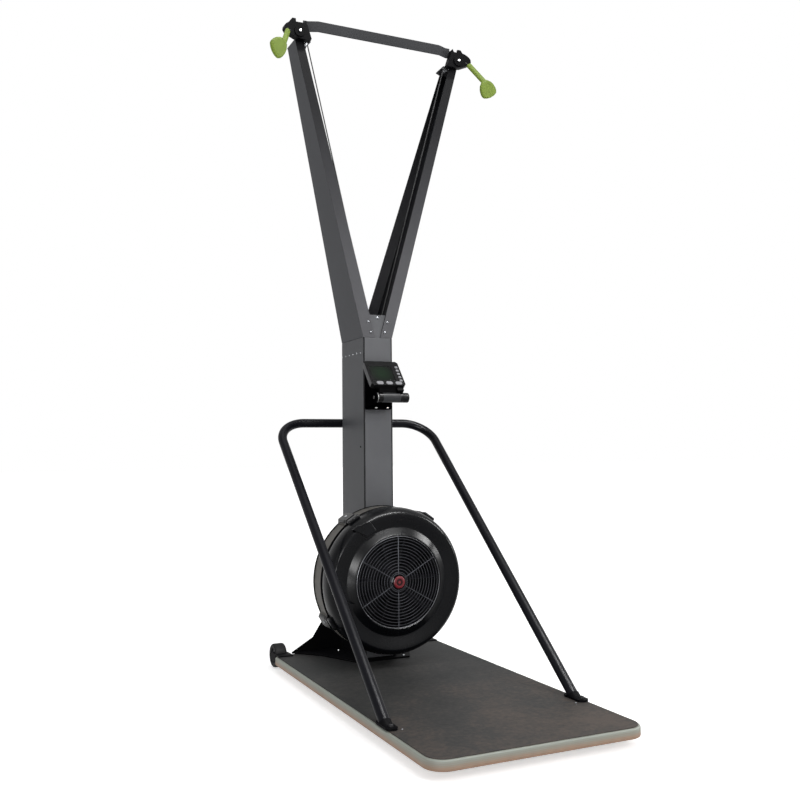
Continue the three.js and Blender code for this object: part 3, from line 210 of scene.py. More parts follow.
# %% Moulded ABS
fan_gloss = skin_finish("abs_gloss_black", "#030406", "#06070b", 0.26, 80, 2.5, 0.05, specular=0.1)
head_gloss = skin_finish("abs_head_black", "#040406", "#09090c", 0.36, 60, 2.0, 0.12, specular=0.02)
band_grey = skin_finish("abs_band_grey", "#55534f", "#625f5b", 0.5, 60, 1.5, 0.2)
case_grey = skin_finish("abs_case_dark", "#060607", "#0d0d0e", 0.4, 40, 1.2, 0.35, specular=0.03)
barrel_black = skin_finish("abs_barrel_black", "#040405", "#08080a", 0.22, 30, 1.5, 0.2, specular=0.1)
sleeve_grey = skin_finish("abs_sleeve_grey", "#303133", "#3a3b3d", 0.4, 30, 1.5, 0.2, specular=0.1)
clamp_dark = skin_finish("abs_clamp_dark", "#1b1b1c", "#2a2a2a", 0.35, 30, 1.5, 0.2)
edge_grey = skin_finish("abs_case_edge", "#4f4f51", "#5a5a5c", 0.5, 40, 1.2, 0.3)
cap_red = skin_finish("abs_cap_red", "#701a23", "#862831", 0.3, 14, 1.2, 0.15, coat=0.2)
# Darker red that paints the shade in the cap's recess.
cap_shade = skin_finish("abs_cap_recess_painted_shade", "#2a0b0f", "#3a1116", 0.4, 14, 1.2, 0.15, specular=0.1)
print("finishes:", len(bpy.data.materials))

# %% [markdown]
# The softer plastics scatter light more. Silicone keys look chalky, the polypropylene of the
# handles keeps a soft sheen, the nylon of the wheels' rims is a flat dark grey, and rubber is
# the dullest, with the deepest grain.

# %% Soft plastics and rubber
key_grey = skin_finish("silicone_key_grey", "#8a8a8e", "#9c9ca0", 0.55, 9, 1.0, 0.3)
lime = skin_finish("polypropylene_lime", "#7d933b", "#8aa049", 0.5, 45, 1.4, 0.35, specular=0.05)
rim_plastic = skin_finish("nylon_rim_dark", "#1d1e20", "#26272a", 0.5, 30, 1.4, 0.3)
rubber = skin_finish("rubber_black", "#0b0b0c", "#151516", 0.62, 30, 1.6, 0.5)
print("finishes:", len(bpy.data.materials))

# %% [markdown]
# Bright screws and bolts are zinc-plated steel, the hidden wheels and the axle are turned
# steel, the grille's wires and the rivets a darker drawn steel, and the flywheel is so thinly
# painted that it still shines as metal. Metal has no colour of its own beneath the shine, so it
# is metallic 1 with the tint in its base colour, and fine scratches make the roughness uneven.

# %% Bare metals
SCRATCH_HEIGHT = 0.1


def bare_metal(name, tint, roughness, scratch_mm):
    material, tree, shader, place = start_material(name, Metallic=1.0)
    shader.inputs["Base Color"].default_value = linear(tint)
    streaks = add_node(tree, "ShaderNodeTexNoise", {
        "Vector": place, "Scale": per_mm(scratch_mm), "Detail": 4,
    })
    wear = add_node(tree, "ShaderNodeMapRange", {
        "Value": streaks.outputs["Fac"], "To Min": roughness - 0.08, "To Max": roughness + 0.12,
    })
    tree.links.new(wear.outputs["Result"], shader.inputs["Roughness"])
    bump = add_node(tree, "ShaderNodeBump", {
        "Height": streaks.outputs["Fac"], "Strength": 0.15, "Distance": SCRATCH_HEIGHT * MM,
    })
    tree.links.new(bump.outputs["Normal"], shader.inputs["Normal"])
    return material


zinc = bare_metal("steel_zinc_plated", "#c9cacb", 0.3, 1.5)
turned_steel = bare_metal("steel_turned", "#8f9194", 0.34, 2.5)
wire_steel = bare_metal("steel_wire_black", "#45464a", 0.34, 2.0)
rim_steel = bare_metal("steel_wire_grey", "#5c5d60", 0.3, 2.0)
flywheel_dark = bare_metal("steel_painted_dark", "#141416", 0.45, 4.0)
print("metals:", zinc.name, turned_steel.name, wire_steel.name)

# %% [markdown]
# ## Shapes
# Three ways of making a mesh serve the whole machine. A turned piece is a short profile spun
# round an axis. An eased piece is a copy of the CAD solid with its doubles merged, its flat
# triangles joined and its sharp edges bevelled, because real folded or moulded edges are never
# knife-sharp and catch a line of light. A block is a cube that is scaled and bevelled.

# %% Places, pieces and copies
BOARD_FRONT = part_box("platform_board")[0].y
ROUND_STEPS = 96


def at(x, y, z):
    """Place in millimetres: x from the middle, y from the board's front edge, z from the floor."""
    return Vector((x * MM, BOARD_FRONT + y * MM, z * MM))


def piece(bm, name, body, materials, replaced=(), smooth_angle=35):
    """Object of a bmesh, riding its body; without a body it is left unattached."""
    bmesh.ops.recalc_face_normals(bm, faces=bm.faces)
    mesh = bpy.data.meshes.new(name)
    bm.to_mesh(mesh)
    bm.free()
    mesh.shade_smooth()
    mesh.set_sharp_from_angle(angle=math.radians(smooth_angle))
    for material in materials:
        mesh.materials.append(material)
    obj = bpy.data.objects.new(name, mesh)
    bpy.context.scene.collection.objects.link(obj)
    weighted = obj.modifiers.new("weighted_normals", "WEIGHTED_NORMAL")
    weighted.keep_sharp = True
    if body:
        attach(obj, body)
    if replaced:
        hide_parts(*replaced)
    return obj


def merged_copy(node):
    bm = bmesh.new()
    bm.from_mesh(nodes[node].data)
    bmesh.ops.remove_doubles(bm, verts=bm.verts, dist=0.02 * MM)
    bmesh.ops.dissolve_limit(bm, angle_limit=math.radians(0.4), verts=bm.verts, edges=bm.edges)
    return bm


def join_into(whole, part):
    """Adds one bmesh to another; a mesh carries it across and is removed again."""
    carrier = bpy.data.meshes.new("carrier")
    part.to_mesh(carrier)
    part.free()
    whole.from_mesh(carrier)
    bpy.data.meshes.remove(carrier)


# %% Ways of making a mesh
def bevel_edges(bm, edges, width, segments=2):
    bmesh.ops.bevel(
        bm, geom=edges, offset=width * MM, offset_type="OFFSET", segments=segments, profile=0.5,
        affect="EDGES", clamp_overlap=True, material=-1,
    )


def sharp_edges(bm, angle=30, longer=0.0):
    return [
        edge for edge in bm.edges
        if len(edge.link_faces) == 2 and edge.calc_face_angle() > math.radians(angle)
        and edge.calc_length() > longer * MM
    ]


def turned(profile, steps=ROUND_STEPS):
    """Closed solid of (radius, height) points in millimetres, spun round Z."""
    bm = bmesh.new()
    points = [bm.verts.new((radius * MM, 0, height * MM)) for radius, height in profile]
    for a, b in zip(points, points[1:]):
        bm.edges.new((a, b))
    bmesh.ops.spin(
        bm, geom=bm.verts[:] + bm.edges[:], cent=(0, 0, 0), axis=(0, 0, 1), angle=2 * math.pi,
        steps=steps, use_merge=True,
    )
    bmesh.ops.remove_doubles(bm, verts=bm.verts, dist=0.002 * MM)
    return bm


def block(size, width, segments=3):
    bm = bmesh.new()
    bmesh.ops.create_cube(bm, size=1)
    bmesh.ops.scale(bm, vec=[side * MM for side in size], verts=bm.verts)
    bevel_edges(bm, bm.edges[:], width, segments)
    return bm


def prism(outline, thickness, width, segments):
    """Flat plate in XY of an outline in millimetres, from z 0 up to its thickness."""
    bm = bmesh.new()
    face = bm.faces.new([bm.verts.new((x * MM, y * MM, 0)) for x, y in outline])
    grown = bmesh.ops.extrude_face_region(bm, geom=[face])
    raised = [item for item in grown["geom"] if isinstance(item, bmesh.types.BMVert)]
    bmesh.ops.translate(bm, vec=(0, 0, thickness * MM), verts=raised)
    bevel_edges(bm, bm.edges[:], width, segments)
    return bm


def put(bm, place, turn=None):
    if turn is not None:
        bmesh.ops.transform(bm, matrix=turn.to_4x4(), verts=bm.verts)
    bmesh.ops.translate(bm, vec=place, verts=bm.verts)
    return bm


FACING_FRONT = Matrix.Rotation(math.radians(90), 4, "X")
FACING_RIGHT = Matrix.Rotation(math.radians(90), 4, "Y")
FACING_LEFT = Matrix.Rotation(math.radians(-90), 4, "Y")
FACING_UP = Matrix.Identity(4)
print("board front at", round(BOARD_FRONT / MM, 1), "mm")

# %% [markdown]
# ## Platform
# The board is birch plywood about 26 mm thick, with a routed round-over. Its edge shows the
# veneers as thin bands, so the material works on height: a wave of light and dark every few
# millimetres, with a stretched noise as grain, on wood that is browner at its foot and paler
# under the sheet. The real veneers are 1.4 mm; here a pair of bands is 4.2 mm, so that they
# can still be told apart from across the room.

# %% Plywood edge
VENEER_PAIR, GRAIN_LONG, GRAIN_FINE = 4.2, 45, 1.5
WOOD_LOW, WOOD_HIGH = 26, 48
WOOD_TONES = [(0.08, "#7c6353"), (0.34, "#a18571"), (0.62, "#959287"), (0.95, "#9ba29a")]
ONE_WAVE = 0.314  # with this scale a wave texture repeats once in each unit of its coordinates

plywood, tree, shader, place = start_material(
    "birch_plywood_edge", Roughness=0.5, Specular_IOR_Level=0.15
)
bands = add_node(tree, "ShaderNodeMapping", {"Vector": place, "Scale": (6, 6, per_mm(VENEER_PAIR))})
veneers = add_node(tree, "ShaderNodeTexWave", {
    "Vector": bands.outputs["Vector"], "Scale": ONE_WAVE, "Distortion": 0.8, "Detail": 2,
    "Detail Scale": 1.5,
}, wave_type="BANDS", bands_direction="Z")
grain_place = add_node(tree, "ShaderNodeMapping", {
    "Vector": place, "Scale": (per_mm(GRAIN_LONG), per_mm(GRAIN_LONG), per_mm(GRAIN_FINE)),
})
grain = add_node(tree, "ShaderNodeTexNoise", {
    "Vector": grain_place.outputs["Vector"], "Scale": 1, "Detail": 5,
})
height = add_node(tree, "ShaderNodeSeparateXYZ", {"Vector": place})
rise = add_node(tree, "ShaderNodeMapRange", {
    "Value": height.outputs["Z"], "From Min": WOOD_LOW * MM, "From Max": WOOD_HIGH * MM,
})
mottle = add_node(tree, "ShaderNodeMath", {0: grain.outputs["Fac"], 1: 0.35}, operation="MULTIPLY")
streak = add_node(tree, "ShaderNodeMath", {0: veneers.outputs["Fac"], 1: 0.12}, operation="MULTIPLY")
mixed = add_node(tree, "ShaderNodeMath", {0: mottle.outputs[0], 1: streak.outputs[0]}, operation="ADD")
level = add_node(tree, "ShaderNodeMath", {0: rise.outputs["Result"], 1: 0.62}, operation="MULTIPLY")
total = add_node(tree, "ShaderNodeMath", {0: mixed.outputs[0], 1: level.outputs[0]}, operation="ADD")
end_finish(tree, shader, total.outputs[0], WOOD_TONES, mixed.outputs[0], 0.3, 0.3)
print("veneer pair:", VENEER_PAIR, "mm")

# %% [markdown]
# The top is a phenolic grip sheet: dark, matt, a little brown, with scuffs where feet have been. Broad clouds
# give the scuffs and a finer noise the speckle. A shift along the depth paints shade towards the rear, under
# the fan, and leaves the front paler. A wire-mesh press leaves a fine grid, which is too small to see and
# only shows as bump.

# %% Grip sheet
SCUFF, SPECKLE, MESH = 210, 14, 3
SHEET_TONES = [(0.34, "#252626"), (0.48, "#343332"), (0.66, "#4f4640")]

grip, tree, shader, place = start_material("phenolic_grip_sheet", Roughness=0.62, Specular_IOR_Level=0.1)
scuffs = add_node(tree, "ShaderNodeTexNoise", {
    "Vector": place, "Scale": per_mm(SCUFF), "Detail": 6, "Roughness": 0.6,
})
speckle = add_node(tree, "ShaderNodeTexNoise", {
    "Vector": place, "Scale": per_mm(SPECKLE), "Detail": 6, "Roughness": 0.7,
})
fine = add_node(tree, "ShaderNodeMath", {0: speckle.outputs["Fac"], 1: 0.45}, operation="MULTIPLY")
broad = add_node(tree, "ShaderNodeMath", {0: scuffs.outputs["Fac"], 1: 0.55}, operation="MULTIPLY")
worn = add_node(tree, "ShaderNodeMath", {0: fine.outputs[0], 1: broad.outputs[0]}, operation="ADD")
depth = add_node(tree, "ShaderNodeSeparateXYZ", {"Vector": place})
# Painted shade: the sheet darkens towards the rear, under the fan, and is paler at the front.
rear_shade_shift = add_node(tree, "ShaderNodeMapRange", {
    "Value": depth.outputs["Y"], "From Min": -0.5, "From Max": 0.35, "To Min": 0.06, "To Max": -0.15,
})
tone = add_node(tree, "ShaderNodeMath", {0: worn.outputs[0], 1: rear_shade_shift.outputs["Result"]}, operation="ADD")
mesh_press = add_node(tree, "ShaderNodeTexVoronoi", {"Vector": place, "Scale": per_mm(MESH)})
end_finish(tree, shader, tone.outputs[0], SHEET_TONES, mesh_press.outputs["Distance"], 0.4, 0.3)
print("mesh of the press:", MESH, "mm")

# %% [markdown]
# Both layers are a cube with its four upright edges bevelled round, front corners wider than
# rear ones, and then the rims. The bevels come in that order, so the round-over runs along the
# curved corners as a router would cut it.

# %% Board and sheet
CORNER_SEGMENTS, STEEP = 12, math.radians(60)


def rounded_slab(low, high, front_radius, rear_radius, rims, rim_segments):
    """Slab between two corners; rims holds the bevels of its top and bottom edge."""
    bm = bmesh.new()
    bmesh.ops.create_cube(bm, size=1)
    bmesh.ops.scale(bm, vec=high - low, verts=bm.verts)
    bmesh.ops.translate(bm, vec=(low + high) / 2, verts=bm.verts)
    middle = (low.y + high.y) / 2
    for radius, is_front in ((front_radius, True), (rear_radius, False)):
        upright = [
            edge for edge in bm.edges
            if abs(edge.verts[0].co.z - edge.verts[1].co.z) > (high.z - low.z) / 2
            and (edge.verts[0].co.y < middle) == is_front and len(edge.link_faces) == 2
            and edge.calc_face_angle() > STEEP
        ]
        bevel_edges(bm, upright, radius, CORNER_SEGMENTS)
    for surface, width in zip((high.z, low.z), rims):
        around = [
            edge for edge in bm.edges
            if all(abs(v.co.z - surface) < 0.01 * MM for v in edge.verts)
            and edge.calc_face_angle() > STEEP
        ]
        bevel_edges(bm, around, width, rim_segments)
    return bm


board_low, board_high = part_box("platform_board")
wood = rounded_slab(board_low, board_high, 52, 24, rims=(5.8, 3.5), rim_segments=5)
piece(wood, "board_wood", "frame", [plywood], ["platform_board"])
sheet_low, sheet_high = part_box("platform_grip_mat")
sheet = rounded_slab(sheet_low, sheet_high, 46, 18, rims=(0.8, 0.3), rim_segments=3)
piece(sheet, "board_grip_sheet", "frame", [grip], ["platform_grip_mat"])
print("board", [round(side / MM, 1) for side in board_high - board_low])

# %% [markdown]
# ## Sheet metal
# The base, column, arms, strap and brackets are right as solids. Each is replaced by a copy
# with softened edges: between 0.4 mm on thin plate and 1.6 mm on the folded column, and 2.5 mm
# on the rubber strips under the board.

# %% Eased copies of the solids
def eased(node, material, width):
    bm = merged_copy(node)
    bevel_edges(bm, sharp_edges(bm), width)
    return piece(bm, f"{node}_shape", "frame", [material], [node])


SHEET_PIECES = [
    ("base_frame", "black_steel", black_coat, 1.2),
    ("column_body", "grey_coat", grey_coat, 1.6),
    ("column_front_panel", "grey_coat", panel_lit_coat, 1.2),
    ("junction_plate", "grey_coat", panel_lit_coat, 0.4),
    ("arm_left", "grey_coat", arm_side_shaded_coat, 1.4),
    ("arm_right", "grey_coat", arm_side_shaded_coat, 1.4),
    ("top_strap", "grey_coat", strap_shaded_coat, 0.8),
    ("rail_clamp", "black_steel", black_coat, 1.5),
    ("wing_bracket_left", "black_steel", bracket_coat, 0.4),
    ("wing_bracket_right", "black_steel", bracket_coat, 0.4),
    ("wheel_fork_left", "black_steel", black_coat, 0.6),
    ("wheel_fork_right", "black_steel", black_coat, 0.6),
    ("rail_foot_left", "black_steel", black_coat, 0.8),
    ("rail_foot_right", "black_steel", black_coat, 0.8),
    ("monitor_bracket", "black_steel", holder_coat, 0.8),
    ("foot_strip_front", "rubber", rubber, 2.5),
    ("foot_strip_rear", "rubber", rubber, 2.5),
]
shapes = {node: eased(node, material, width) for node, slot, material, width in SHEET_PIECES}
print("eased copies:", len(shapes))

# %% [markdown]
# The front of an arm carries painted shade: its coat darkens from the panel's grey at the junction to nearly
# black at the head. The shade is a ramp on height, so both arms share it.

# %% Painted shade on the arms' fronts
ARM_SHADE_STOPS = [
    (0.1, "#646467"), (0.29, "#5b5b5e"), (0.47, "#48484b"), (0.65, "#323235"), (0.79, "#1b1b1e"),
    (0.92, "#0e0e11"),
]
arm_front_shade, tree, shader, place = start_material(
    "powder_coat_arm_painted_shade", Roughness=0.45, Specular_IOR_Level=0.05
)
height = add_node(tree, "ShaderNodeSeparateXYZ", {"Vector": place})
shade_by_height = add_node(tree, "ShaderNodeMapRange", {"Value": height.outputs["Z"], "From Min": 1.1, "From Max": 2.1})
peel = add_node(tree, "ShaderNodeTexNoise", {"Vector": place, "Scale": per_mm(1.8), "Detail": 2})
end_finish(tree, shader, shade_by_height.outputs["Result"], ARM_SHADE_STOPS, peel.outputs["Fac"], 0.25, RIPPLE_HEIGHT)
print("fade stops:", len(ARM_SHADE_STOPS))

# %% [markdown]
# Faces are given their coat by the way they face. The hollow behind an arm is unlit, so a near-black coat
# paints its shade. A bend between front and side is dark too, where two sheets lap or meet, so the front
# edges of the column and its panel read as seams. The strap's upper face lies in shade, and the same
# near-black coat paints that shade on it.

# %% Coats by the way a face looks
BEND, MOSTLY = 0.25, 0.5


def on_bend(face):
    return face.normal.y < -BEND and abs(face.normal.x) > BEND


for name in ("column_body", "column_front_panel"):
    shapes[name].data.materials.append(shade_and_seam_coat)
    for face in shapes[name].data.polygons:
        face.material_index = int(on_bend(face))

strap = shapes["top_strap"]
# Painted shade on the strap's upward faces.
strap.data.materials.append(shade_and_seam_coat)
for face in strap.data.polygons:
    face.material_index = int(face.normal.z > MOSTLY)

# Arm fronts get the painted shade ramp, their hollows the near-black painted shade, and their bends the seam
# coat.
for side, outward in (("left", -1), ("right", 1)):
    arm = shapes[f"arm_{side}"]
    arm.data.materials.append(arm_front_shade)
    arm.data.materials.append(shade_and_seam_coat)
    for face in arm.data.polygons:
        sideways = face.normal.x * outward
        if on_bend(face) and sideways > 0:
            face.material_index = 2
        elif face.normal.y < -0.6:
            face.material_index = 1
        elif sideways < MOSTLY:
            face.material_index = 2
    print(arm.name, "coats:", len(arm.data.materials))

# %% [markdown]
# Wheels, spools, axle and bearings sit inside and need no new edges, only a smooth shading
# over their facets.

# %% Smooth copies of the turned inner pieces
INNER_PIECES = {
    "flywheel_axle": ("flywheel_rotor", "steel", turned_steel),
    "flywheel": ("flywheel_rotor", "steel", flywheel_dark),
    "bearing_front": ("frame", "steel", turned_steel),
    "bearing_rear": ("frame", "steel", turned_steel),
    "damper_ring": ("damper", "black_steel", black_coat),
    "return_pulley": ("return_wheel", "steel", turned_steel),
}
SIDE_WHEELS = {
    "head_pulley": "head_wheel", "guide_pulley": "guide_wheel", "column_pulley": "column_wheel",
    "drive_spool": "spool",
}
for side in ("left", "right"):
    for node, body in SIDE_WHEELS.items():
        INNER_PIECES[f"{node}_{side}"] = (f"{body}_{side}", "steel", turned_steel)
for node, (body, slot, material) in INNER_PIECES.items():
    piece(merged_copy(node), f"{node}_shape", body, [material], [node], smooth_angle=32)
print("inner pieces:", len(INNER_PIECES))

# %% [markdown]
# ## Fan
# The fan's outer drum is a moulding with a paler grey band between two black rims. The copy of
# the solid is kept for its lever slot. It is cut by two planes where the band begins and ends,
# and the faces between them that lie on the outer radius are painted.

# %% Drum with its pale band
FAN_HEIGHT, FAN_RADIUS, BAND_FRONT, FAN_REAR = 324, 234, 911, 978
LIP, STEP, SKIN = 7, 2.5, 2.5
FAN_AXIS = at(0, 0, FAN_HEIGHT)


def fan_place(x, y, z):
    """Place in millimetres, as at() gives, but with z counted from the fan's axis."""
    return at(x, y, FAN_AXIS.z / MM + z)


def axis_distance(point):
    return math.hypot(point.x, point.z - FAN_AXIS.z) / MM


drum = merged_copy("fan_rear_housing")
band_start, band_end = at(0, BAND_FRONT + STEP, 0).y, at(0, FAN_REAR - LIP, 0).y
for cut_y in (band_end, band_start):
    bmesh.ops.bisect_plane(
        drum, geom=drum.verts[:] + drum.edges[:] + drum.faces[:], plane_co=(0, cut_y, 0),
        plane_no=(0, 1, 0),
    )
banded = 0
for face in drum.faces:
    middle = face.calc_center_median()
    on_band = band_start < middle.y < band_end and axis_distance(middle) > FAN_RADIUS - SKIN
    face.material_index = int(on_band)
    banded += on_band
bevel_edges(drum, sharp_edges(drum, angle=60, longer=8), 0.8)
piece(drum, "fan_drum", "frame", [fan_gloss, band_grey], ["fan_rear_housing"], smooth_angle=32)
print("band faces:", banded)

# %% [markdown]
# The front cover is turned in one piece: an outer wall, a rolled shoulder, a shallow dish and
# a chamfer down to the grille's seat. Each corner of the profile is drawn with two or three
# points, so that the moulding's soft corners catch the light as thin lines.

# %% Front cover
COVER_FRONT, COVER_REAR, COVER_STEPS = 827, 897, 128
COVER_PROFILE = [
    (234.0, 70.0), (235.6, 62.0), (236.0, 53.0), (235.4, 42.0), (234.2, 34.0), (232.4, 25.5), (229.0, 18.0),
    (225.2, 12.0), (221.0, 7.6), (217.6, 5.6), (214.6, 5.0), (211.0, 5.6), (204.0, 7.2), (190.0, 10.8),
    (176.0, 14.2), (173.4, 14.7), (172.0, 14.3), (170.6, 13.0), (152.6, 2.6), (151.0, 0.9), (149.4, 0.1),
    (147.6, 0.0), (146.7, 0.8), (146.7, 3.0), (149.4, 3.3), (151.0, 4.0), (169.4, 16.4), (172.0, 17.6),
    (176.0, 17.4), (212.0, 8.4), (219.0, 10.6), (226.4, 19.6), (231.2, 35.0), (232.6, 53.0), (231.0, 67.0),
    (226.2, 67.0), (226.2, 70.0),
]


def fan_turned(profile, front, steps=ROUND_STEPS):
    """Turned about the fan's axis, heights of the profile counted back from a front plane."""
    bm = turned(profile + profile[:1] if profile[0][0] else profile, steps)
    return put(bm, fan_place(0, front, 0), Matrix.Rotation(math.radians(-90), 4, "X"))


cover = fan_turned(COVER_PROFILE, COVER_FRONT, COVER_STEPS)
piece(cover, "fan_cover", "frame", [fan_gloss], ["fan_front_cover"], smooth_angle=42)
print("cover profile:", len(COVER_PROFILE), "points")

# %% [markdown]
# Three thin raised rings run round the fan: one at the drum's rear, one where the band begins
# and a grey one behind the cover. Each is a flat arch, turned like the cover.

# %% Raised rings
REAR_ARCH = [(232.5, 0), (236.2, 0.5), (236.8, 3), (236.2, 5.5), (232.5, 6)]
BAND_ARCH = [(232.5, 0), (235.2, 0.4), (235.5, 1.6), (232.5, 2)]
FRONT_ARCH = [(226.5, 0), (232.4, 0.4), (232.8, 1.6), (232.4, 3.2), (226.5, 3.6)]
RAISED_RINGS = [
    ("rear", REAR_ARCH, FAN_REAR - 6.2, fan_gloss),
    ("band", BAND_ARCH, BAND_FRONT - 0.4, fan_gloss),
    ("front", FRONT_ARCH, COVER_REAR + 1.2, band_grey),
]
for name, profile, front, material in RAISED_RINGS:
    piece(fan_turned(profile, front), f"fan_rim_{name}", "frame", [material])
print("raised rings:", len(RAISED_RINGS))

# %% [markdown]
# Four clamps hold cover and drum together. Each is a rounded block over the band, with a screw
# in it, a smaller and glossier nose over the cover's edge, and a thin bridge that joins them.
# One clamp is built at the top of the ring and then turned to its own angle, so all four match.

# %% Clamps round the ring
CLAMP_ANGLES = (56, 123.5, 211, 331)
CLAMP_BLOCKS = [
    ("rear", (46, 56, 16), (941, 239.4), 6, clamp_dark),
    ("nose", (44, 24, 15), (886, 239.2), 5.5, fan_gloss),
    ("bridge", (30, 40, 9), (906, 238.5), 3, fan_gloss),
]
CLAMP_SCREW = [(0, 0), (4.6, 0), (4.6, 2.4), (3.8, 3.2), (1.9, 3.4), (1.9, 1.4), (0, 1.4)]


def round_axis(angle):
    """Turns a mesh from the top of the fan to an angle counted from its right-hand side."""
    turn = Matrix.Rotation(math.radians(90 - angle), 4, "Y")
    return Matrix.Translation(FAN_AXIS) @ turn @ Matrix.Translation(-FAN_AXIS)


def clamp_piece(bm, name, angle, material):
    bmesh.ops.transform(bm, matrix=round_axis(angle), verts=bm.verts)
    piece(bm, name, "frame", [material])


for index, angle in enumerate(CLAMP_ANGLES, 1):
    for name, size, middle, width, material in CLAMP_BLOCKS:
        bm = put(block(size, width, segments=4), fan_place(0, *middle))
        clamp_piece(bm, f"clamp_{name}_{index}", angle, material)
    screw = put(turned(CLAMP_SCREW, 24), fan_place(0, 941, 246.6))
    clamp_piece(screw, f"clamp_screw_{index}", angle, turned_steel)
print("clamps:", len(CLAMP_ANGLES))

# %% [markdown]
# Beside two clamps the cover carries a flat boss that ends in a V on the dish. It is a prism
# of its outline, bevelled, and sunk into the cover so that only its face and tip stand proud.

# %% Bosses on the cover
BOSS_FACE, BOSS_DEPTH, BOSS_BEVEL = 829.6, 14, 1.4
BOSSES = {
    "upper": [(-156.6, 172.7), (-108.4, 148.2), (-76.6, 169.1), (-98, 196), (-136, 186)],
    "lower": [(-151, -60), (-166, -98), (-196, -104), (-203, -76), (-176, -52)],
}
for name, outline in BOSSES.items():
    plate = prism(outline, BOSS_DEPTH, BOSS_BEVEL, segments=3)
    put(plate, fan_place(0, BOSS_FACE + BOSS_DEPTH, 0), FACING_FRONT)
    piece(plate, f"cover_boss_{name}", "frame", [fan_gloss])
print("bosses:", list(BOSSES))

# %% [markdown]
# The grille is welded wire: twelve rings on six spokes, a thicker small ring round the cap and
# a brighter rim wire. A ring is a small hexagon spun round the fan's axis. Six sides are
# enough, since a wire is a pixel wide.

# %% Wire grille
WIRE, RING_COUNT, FIRST_RING, LAST_RING = 1.0, 12, 31, 137
CAP_RING, RIM_RING = (26, 1.3), (144.8, 1.0)
GRILLE_FRONT, SPOKES, SPOKE_RADIUS, SPOKE_LENGTH, SPOKE_MIDDLE = 828.6, 6, 1.1, 122, 85


def wire_profile(radius, wire, count=6):
    """Section of a wire as a closed row of (radius, height) points."""
    turns = [2 * math.pi * k / count for k in range(count)]
    return [(radius + wire * math.cos(t), wire + wire * math.sin(t)) for t in turns]


grille = bmesh.new()
rings = [FIRST_RING + (LAST_RING - FIRST_RING) * k / (RING_COUNT - 1) for k in range(RING_COUNT)]
for radius, wire in [(r, WIRE) for r in rings] + [CAP_RING]:
    join_into(grille, fan_turned(wire_profile(radius, wire), GRILLE_FRONT))
for k in range(SPOKES):
    spoke = bmesh.new()
    bmesh.ops.create_cone(
        spoke, cap_ends=True, segments=8, radius1=SPOKE_RADIUS * MM, radius2=SPOKE_RADIUS * MM,
        depth=SPOKE_LENGTH * MM,
    )
    put(spoke, fan_place(0, GRILLE_FRONT + 2.6, SPOKE_MIDDLE))
    bmesh.ops.transform(spoke, matrix=round_axis(90 + 360 / SPOKES * k), verts=spoke.verts)
    join_into(grille, spoke)
piece(grille, "grille_wires", "frame", [wire_steel], ["fan_grille"])
rim_wire = fan_turned(wire_profile(*RIM_RING, 8), GRILLE_FRONT - 1, COVER_STEPS)
piece(rim_wire, "grille_rim_wire", "frame", [rim_steel])
print("rings at", [round(r) for r in rings])

# %% [markdown]
# The cap at the centre is a shallow red dome in a black bezel, with a round recess in its face whose shade is
# painted as a darker red ring. All three are turned about the fan's axis.

# %% Centre cap
CAP_FRONT, CAP_STEPS = 822.2, 64
DOME = [(0, 1.0), (11.4, 1.2), (12.2, 0.8), (13, 0.5), (16.6, 1.2), (19, 2.4), (19.6, 3.4), (19.6, 5), (0, 5)]
RECESS = [(4.6, 0.9), (10.9, 0.9), (11.2, 1.2), (11.2, 2), (4.6, 2), (4.6, 0.9)]
BEZEL = [(19.9, 5), (19.9, 2.6), (20.4, 1.9), (21.2, 1.8), (21.8, 2.6), (22, 5)]
dome = fan_turned(DOME, CAP_FRONT, CAP_STEPS)
piece(dome, "cap_dome", "frame", [cap_red], ["fan_centre_cap"], smooth_angle=50)
# Painted shade of the recess: a dark red ring on the dome's face.
piece(fan_turned(RECESS, CAP_FRONT, CAP_STEPS), "cap_recess", "frame", [cap_shade])
piece(fan_turned(BEZEL, 822, CAP_STEPS), "cap_bezel", "frame", [fan_gloss])
print("cap across:", 2 * BEZEL[-1][0], "mm")

# %% [markdown]
# ## Handrail
# One steel tube is bent twice at 90 degrees. A ring of edges is walked along the route as a
# bender would: extruded for each straight, and spun about the bend's centre for each bend. Each
# leg starts a little below its foot, and a last cut leaves it level.

# %% Bent tube
TUBE_RADIUS, BEND_RADIUS, RAIL_HALF, CROSS_Z, SPARE = 15.2, 100, 288, 840, 30
FOOT = (291, 52.7)
rail_low, rail_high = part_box("support_rail")
cross_y = rail_high.y / MM - TUBE_RADIUS - BOARD_FRONT / MM
leg = at(0, cross_y, CROSS_Z) - at(0, *FOOT)
leg_way, leg_length = leg.normalized(), leg.length / MM


def extend(bm, edges, way):
    grown = bmesh.ops.extrude_edge_only(bm, edges=edges)["geom"]
    moved = [item for item in grown if isinstance(item, bmesh.types.BMVert)]
    bmesh.ops.translate(bm, vec=way, verts=moved)
    return [item for item in grown if isinstance(item, bmesh.types.BMEdge) and len(item.link_faces) == 1]


def bend(bm, edges, centre, axis, steps=18):
    last = bmesh.ops.spin(
        bm, geom=edges, cent=centre, axis=axis, angle=math.radians(90), steps=steps, use_duplicate=False,
    )["geom_last"]
    return [item for item in last if isinstance(item, bmesh.types.BMEdge)]


